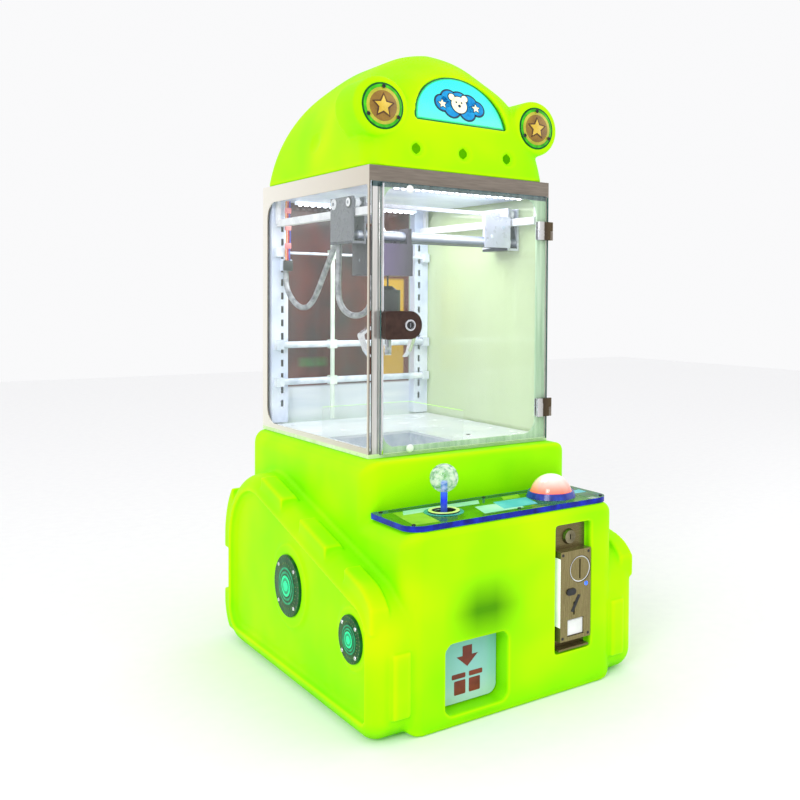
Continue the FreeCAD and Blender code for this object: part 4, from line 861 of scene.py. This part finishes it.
def led_chips():
    """Rows of bright chips on the two ceiling strips."""
    chips = Piece("led_chips", "chip", "nylon")
    pitch, strip_face = 0.012, 0.7582
    for y in (-0.112, 0.236):
        for step in range(20):
            x = -0.114 + pitch * step
            chips.box((x - 0.0025, y - 0.0025, 0.7560), (x + 0.0025, y + 0.0025, strip_face), 0.0006, 0)
            chips.box((x + 0.0045, y - 0.0012, 0.7568), (x + 0.0065, y + 0.0012, strip_face), 0.0003, 1)
    chips.done("machine", "led")


def door_trim():
    """Clear bumpers stuck on the door, and a chrome strip along its free edge as a painted highlight of its
    polished edge.
    """
    trim = Piece("door_bumpers", "bumper", "chrome")
    for x, z in ((-0.100, 0.368), (-0.102, 0.755)):
        trim.turned([(0.006, 0), (0.0062, 0.0008), (0.0048, 0.0028), (0.002, 0.0036), (0, 0.0036)],
                    (x, -0.131, z), (0, -1, 0), 0, 28)
    # Painted highlight: a chrome strip for the glint on the door's polished free edge.
    trim.box((-0.1476, -0.1318, 0.3630), (-0.1452, -0.1310, 0.7610), 0.0003, 1)
    trim.done("door", "clear_glass")


def door_lock():
    """The door's lock: chrome barrel and collar, black face and key slot."""
    lock = Piece("door_lock", "chrome", "black", "grey")
    centre = Vector((-0.108, -0.132, 0.553))
    lock.turned([(0.0080, 0), (0.0080, 0.0105), (0.0092, 0.0108), (0.0092, 0.0128), (0.0084, 0.0140),
                 (0.0064, 0.0140), (0.0060, 0.0128), (0, 0.0128)], centre, (0, -1, 0), 0, 48)
    lock.turned([(0.0058, 0.0126), (0.0054, 0.0134), (0.0018, 0.0136), (0, 0.0132)], centre,
                (0, -1, 0), 1, 40)
    lock.box((-0.1086, -0.1460, 0.5496), (-0.1074, -0.1450, 0.5564), 0.0002, 2)
    lock.done("door_lock", "chrome", "door_lock_core")


def floor_mark():
    """The rubber plug in the playfield."""
    mark = Piece("floor_plug", "bumper", "black")
    spot, up = (0.052, -0.060, 0.367), (0, 0, 1)
    mark.turned([(0.0065, 0), (0.0062, 0.0008), (0.0040, 0.0010), (0, 0.0010)], spot, up, 0, 32)
    mark.turned([(0.0038, 0.0009), (0.0032, 0.0018), (0, 0.0018)], spot, up, 1, 28)
    mark.done("machine", "white_laminate")


led_chips()
door_trim()
door_lock()
floor_mark()


# ---------------------------------------------------------------- gantry

def is_tube(face):
    """Whether a face of the bridge is on its two cross tubes."""
    return face.center.z < 0.699 and -0.053 < face.center.y < 0.004


for _, hand in SIDES:
    dress(f"gantry_rail_{hand}", "nylon", 0.0005)
dress("bridge_frame", "lavender", 0.0005, "tube_painted_highlight", is_tube)
dress("bridge_wheels", "nylon", 0.0006)
dress("trolley_case", "purple", 0.0009)
dress("trolley_motor", "nylon", 0.0006)
dress("winch_reel", "grey", 0.0005)
dress("claw_body", "black", 0.0006, "chrome", lambda face: face.center.z < 0.566)
for finger in "abc":
    dress(f"claw_finger_{finger}", "chrome", 0.0004)


wheel_face, wheel_level = 0.1568, 0.739


def wheel_hubs():
    """Rim, web and axle nut on the outer end of each drive wheel's axle."""
    hubs = Piece("wheel_hubs", "black", "nylon", "grey")
    for side, _ in SIDES:
        start = (side * wheel_face, -0.042, wheel_level)
        out = (side, 0, 0)
        hubs.turned([(0.0088, 0), (0.0088, 0.0010), (0.0078, 0.0016), (0, 0.0016)], start, out, 0, 40)
        hubs.turned([(0.0070, 0.0014), (0.0068, 0.0021), (0, 0.0021)], start, out, 1, 40)
        hubs.turned([(0.0030, 0.0019), (0.0026, 0.0029), (0, 0.0029)], start, out, 2, 6)
    hubs.done("drive_wheels", "black_plastic")


def bracket_screws():
    """Two white screws on the bridge's front plate and the faces of its trailing wheels."""
    screws = Piece("bracket_screws", "gloss_white", "nylon", "grey")
    for side, _ in SIDES:
        start = (side * wheel_face, 0.010, wheel_level)
        screws.turned([(0.0088, 0), (0.0088, 0.0008), (0.0078, 0.0015), (0.0050, 0.0015), (0.0046, 0.0010),
                       (0, 0.0010)], start, (side, 0, 0), 1, 40)
        screws.turned([(0.0030, 0.0008), (0.0026, 0.0024), (0, 0.0024)], start, (side, 0, 0), 2, 6)
    for x, z in ((0.098, 0.698), (0.122, 0.714)):
        screws.turned([(0.0030, 0), (0.0028, 0.0012), (0.0010, 0.0016), (0, 0.0012)], (x, -0.059, z),
                      (0, -1, 0), 0, 24)
    screws.done("bridge", "white_plastic")


def hoist_line():
    """The hoist cord between the reel and the claw."""
    line = Piece("hoist_line", "black")
    top = Vector((-0.082, -0.028, 0.652))
    low = Vector((-0.082, -0.028, 0.612))
    points = [top.lerp(low, step / 16) for step in range(17)]
    line.tube(points, 0.0015, 0, 12, 1)
    made = finish_mesh(line.bm, line.name, line.looks)
    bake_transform(made)
    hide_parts("hoist_cord")


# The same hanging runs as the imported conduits, end to end.
BRIDGE_RUN = [(-0.137, 0.2445, 0.640), (-0.137, 0.2445, 0.621), (-0.1355, 0.239, 0.603),
              (-0.132, 0.226, 0.588), (-0.128, 0.210, 0.577), (-0.125, 0.192, 0.574),
              (-0.122, 0.174, 0.580), (-0.120, 0.158, 0.594), (-0.119, 0.142, 0.614),
              (-0.1185, 0.124, 0.636), (-0.1195, 0.104, 0.656), (-0.122, 0.083, 0.674),
              (-0.125, 0.064, 0.686), (-0.127, 0.046, 0.692), (-0.127, 0.030, 0.692)]
TROLLEY_RUN = [(-0.146, 0.014, 0.676), (-0.146, 0.014, 0.654), (-0.147, 0.0155, 0.620),
               (-0.146, 0.014, 0.5843), (-0.1378, -0.0035, 0.565), (-0.1262, -0.0285, 0.565),
               (-0.118, -0.046, 0.5843), (-0.118, -0.046, 0.628)]
conduit_radius = 0.0048


def run_points(name, route):
    """Points along the one open spline that the route's points shape."""
    curve = bpy.data.curves.new(name + "_line", "CURVE")
    curve.dimensions = "3D"
    spline = curve.splines.new("NURBS")
    spline.points.add(len(route) - 1)
    for point, spot in zip(spline.points, route):
        point.co = (*spot, 1)
    spline.order_u = 3
    spline.use_endpoint_u = True
    spline.resolution_u = 20
    holder = bpy.data.objects.new(name + "_line", curve)
    mesh = bpy.data.meshes.new_from_object(holder)
    points = [vert.co.copy() for vert in mesh.vertices]
    bpy.data.objects.remove(holder)
    return points


def conduit(name, route, node):
    """A corrugated conduit that hangs between two bodies."""
    points = run_points(name, route)
    tube = Piece(name, "conduit")
    tube.tube(points, conduit_radius, 0, 16, 1, ribs=True)
    made = finish_mesh(tube.bm, name, tube.looks, 60)
    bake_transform(made)
    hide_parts(node)


def post_wires():
    """The harness clipped to the rear left post, from its connector to the ceiling."""
    wires = Piece("post_wires", "red_wire", "blue_wire", "orange_wire", "pink_wire", "black")
    for look, shift in ((0, 0.0), (1, 0.0032), (2, -0.0032)):
        wires.tube([(-0.137 + shift, 0.2355, 0.655), (-0.138 + shift, 0.2345, 0.675),
                    (-0.136 + shift, 0.2350, 0.700), (-0.138 + shift, 0.2345, 0.730),
                    (-0.137 + shift, 0.2350, 0.763)], 0.0013, look, 10, 6)
    for z in (0.684, 0.716, 0.746):
        wires.box((-0.1425, 0.2325, z - 0.005), (-0.1315, 0.2375, z + 0.005), 0.0012, 3)
    wires.box((-0.1450, 0.2310, 0.6400), (-0.1290, 0.2382, 0.6580), 0.0012, 4)
    wires.done("machine", "cord")


wheel_hubs()
bracket_screws()
hoist_line()
conduit("bridge_hose", BRIDGE_RUN, "bridge_conduit")
conduit("trolley_hose", TROLLEY_RUN, "trolley_conduit")
post_wires()


# ---------------------------------------------------------------- control deck

def deck_print():
    """Printed bands and blocks on the clear control panel."""
    prints = Piece("deck_print", "deep_green", "mint", "cyan", "teal_print", "leaf_print")

    def patch(outline, look, lift=0.0):
        level = panel_top + 0.0001 + lift
        prints.plate(outline, 0.0002, Matrix.Translation((0, 0, level)), look, 0)

    def slanted(x_low, x_high, y_low, y_high, slant=0.012):
        return [(x_low, y_low), (x_high, y_low), (x_high + slant, y_high), (x_low + slant, y_high)]

    patch(slanted(-0.158, 0.150, -0.172, -0.163, 0.004), 0)
    patch(slanted(-0.168, -0.128, -0.262, -0.180), 4)
    patch(slanted(-0.150, -0.020, -0.200, -0.178), 1, 0.0002)
    patch(slanted(-0.050, 0.020, -0.258, -0.214), 1)
    patch(slanted(-0.010, 0.052, -0.250, -0.204), 2, 0.0002)
    patch(slanted(0.024, 0.056, -0.200, -0.178), 4)
    patch(slanted(0.100, 0.152, -0.176, -0.162, 0.006), 3, 0.0004)
    patch(slanted(-0.060, 0.060, -0.266, -0.261, 0.004), 0)
    patch(slanted(0.140, 0.164, -0.258, -0.176, 0.006), 0)
    patch(slanted(0.142, 0.168, -0.226, -0.206, 0.002), 2, 0.0002)
    prints.done("machine", "clear_deck")


def crystal_ball():
    """The stick's faceted ball."""
    low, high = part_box("joystick_ball")
    centre = (Vector(low) + Vector(high)) / 2
    radius = (high[2] - low[2]) / 2
    ball = bmesh.new()
    bmesh.ops.create_icosphere(ball, subdivisions=3, radius=radius, matrix=Matrix.Translation(centre))
    piece = Piece("stick_ball", "crystal")
    piece.add(ball, 0)
    piece.done("stick", "crystal", "joystick_ball", angle=2)


def stick_rings():
    """Printed rings round the stick's opening, clear of the stick when it leans both ways."""
    rings = Piece("stick_rings", "ring_lime", "ring_teal")
    spot = (-0.092, -0.215, 0)
    for inner, outer, low, high, look in ((0.0180, 0.0290, 0.2862, 0.2870, 1),
                                          (0.0178, 0.0228, 0.2884, 0.2894, 0)):
        rings.turned([(inner, low), (outer, low), (outer, high - 0.0002), (outer - 0.0003, high),
                      (inner, high)], spot, (0, 0, 1), look, 56, hollow=True)
    rings.done("machine", "dark_steel")


dress("deck_panel", "deck", 0.0006, "deck_edge", lambda face: abs(face.normal.z) < 0.5)
dress("joystick_housing", "black", 0.0004)
dress("joystick_gimbal", "steel", 0.0004)
dress("joystick_shaft", "blue_glow", 0.0003)
dress("drop_button", "dome", 0.0003)
dress("button_bezel", "blue_ring", 0.0005)
deck_print()
crystal_ball()
stick_rings()


# ---------------------------------------------------------------- coin mechanism

dress("coin_plate", "coin_steel", 0.0004)
dress("coin_acceptor", "coin_pale", 0.0004)
dress("coin_lock_core", "dull_chrome", 0.0003)
dress("coin_reject_button", "black", 0.0003)
dress("coin_return_flap", "white_flap", 0.0004)
dress("coin_box", "steel", 0.0004)


def coin_trim():
    """Bright side strip, glowing white as a painted highlight of the acceptor's lit side wall, corner
    screws, coin window rim and status light on the coin mechanism.
    """
    trim = Piece("coin_trim", "strip_painted_highlight", "black", "blue_led", "chrome")
    face = -0.279
    # Painted highlight: a thin glowing white strip stands for the acceptor's lit side wall.
    trim.box((0.0736, face + 0.0004, 0.100), (0.0744, -0.2640, 0.204), 0.0002, 0)
    out = (0, -1, 0)
    for x in (0.0785, 0.1285):
        for z in (0.083, 0.209):
            trim.turned([(0.0024, 0), (0.0022, 0.0008), (0.0008, 0.0010), (0, 0.0007)],
                        (x, face + 0.0006, z), out, 1, 20)
    trim.turned([(0.0182, 0), (0.0196, 0), (0.0196, 0.0008), (0.0188, 0.0010), (0.0182, 0.0006)],
                (0.112, face + 0.0012, 0.184), out, 3, 56, hollow=True)
    trim.turned([(0.0034, 0), (0.0030, 0.0010), (0, 0.0012)], (0.124, face + 0.0006, 0.160), out, 2, 20)
    trim.plate([(0.094, 0.122), (0.099, 0.120), (0.113, 0.144), (0.108, 0.146)], 0.0005,
               Matrix.Translation((0, face, 0)) @ UPRIGHT, 1, 0)
    trim.done("machine", "reject_plastic")


coin_trim()


# ---------------------------------------------------------------- outlet, service parts

dress("prize_flap", "flap", 0.0004)


def flap_print():
    """A down arrow over a gift box on the prize flap."""
    prints = Piece("flap_print", "print_red")
    place = Matrix.Translation((-0.072, -0.2480, 0)) @ UPRIGHT
    arrow = [(-0.008, 0.098), (-0.008, 0.084), (-0.018, 0.084), (0, 0.068), (0.018, 0.084), (0.008, 0.084),
             (0.008, 0.098)]
    prints.plate(arrow, 0.0003, place, 0, 0)
    for u_low, u_high, v_low, v_high in ((-0.022, -0.003, 0.030, 0.050), (0.003, 0.022, 0.030, 0.050),
                                         (-0.026, -0.003, 0.053, 0.060), (0.003, 0.026, 0.053, 0.060)):
        prints.plate(rounded(u_low, u_high, v_low, v_high, 0.0015, 3), 0.0003, place, 0, 0)
    prints.done("outlet_flap", "clear_flap")


flap_print()
dress("control_unit", "black", 0.0010)
dress("power_inlet", "black", 0.0006)
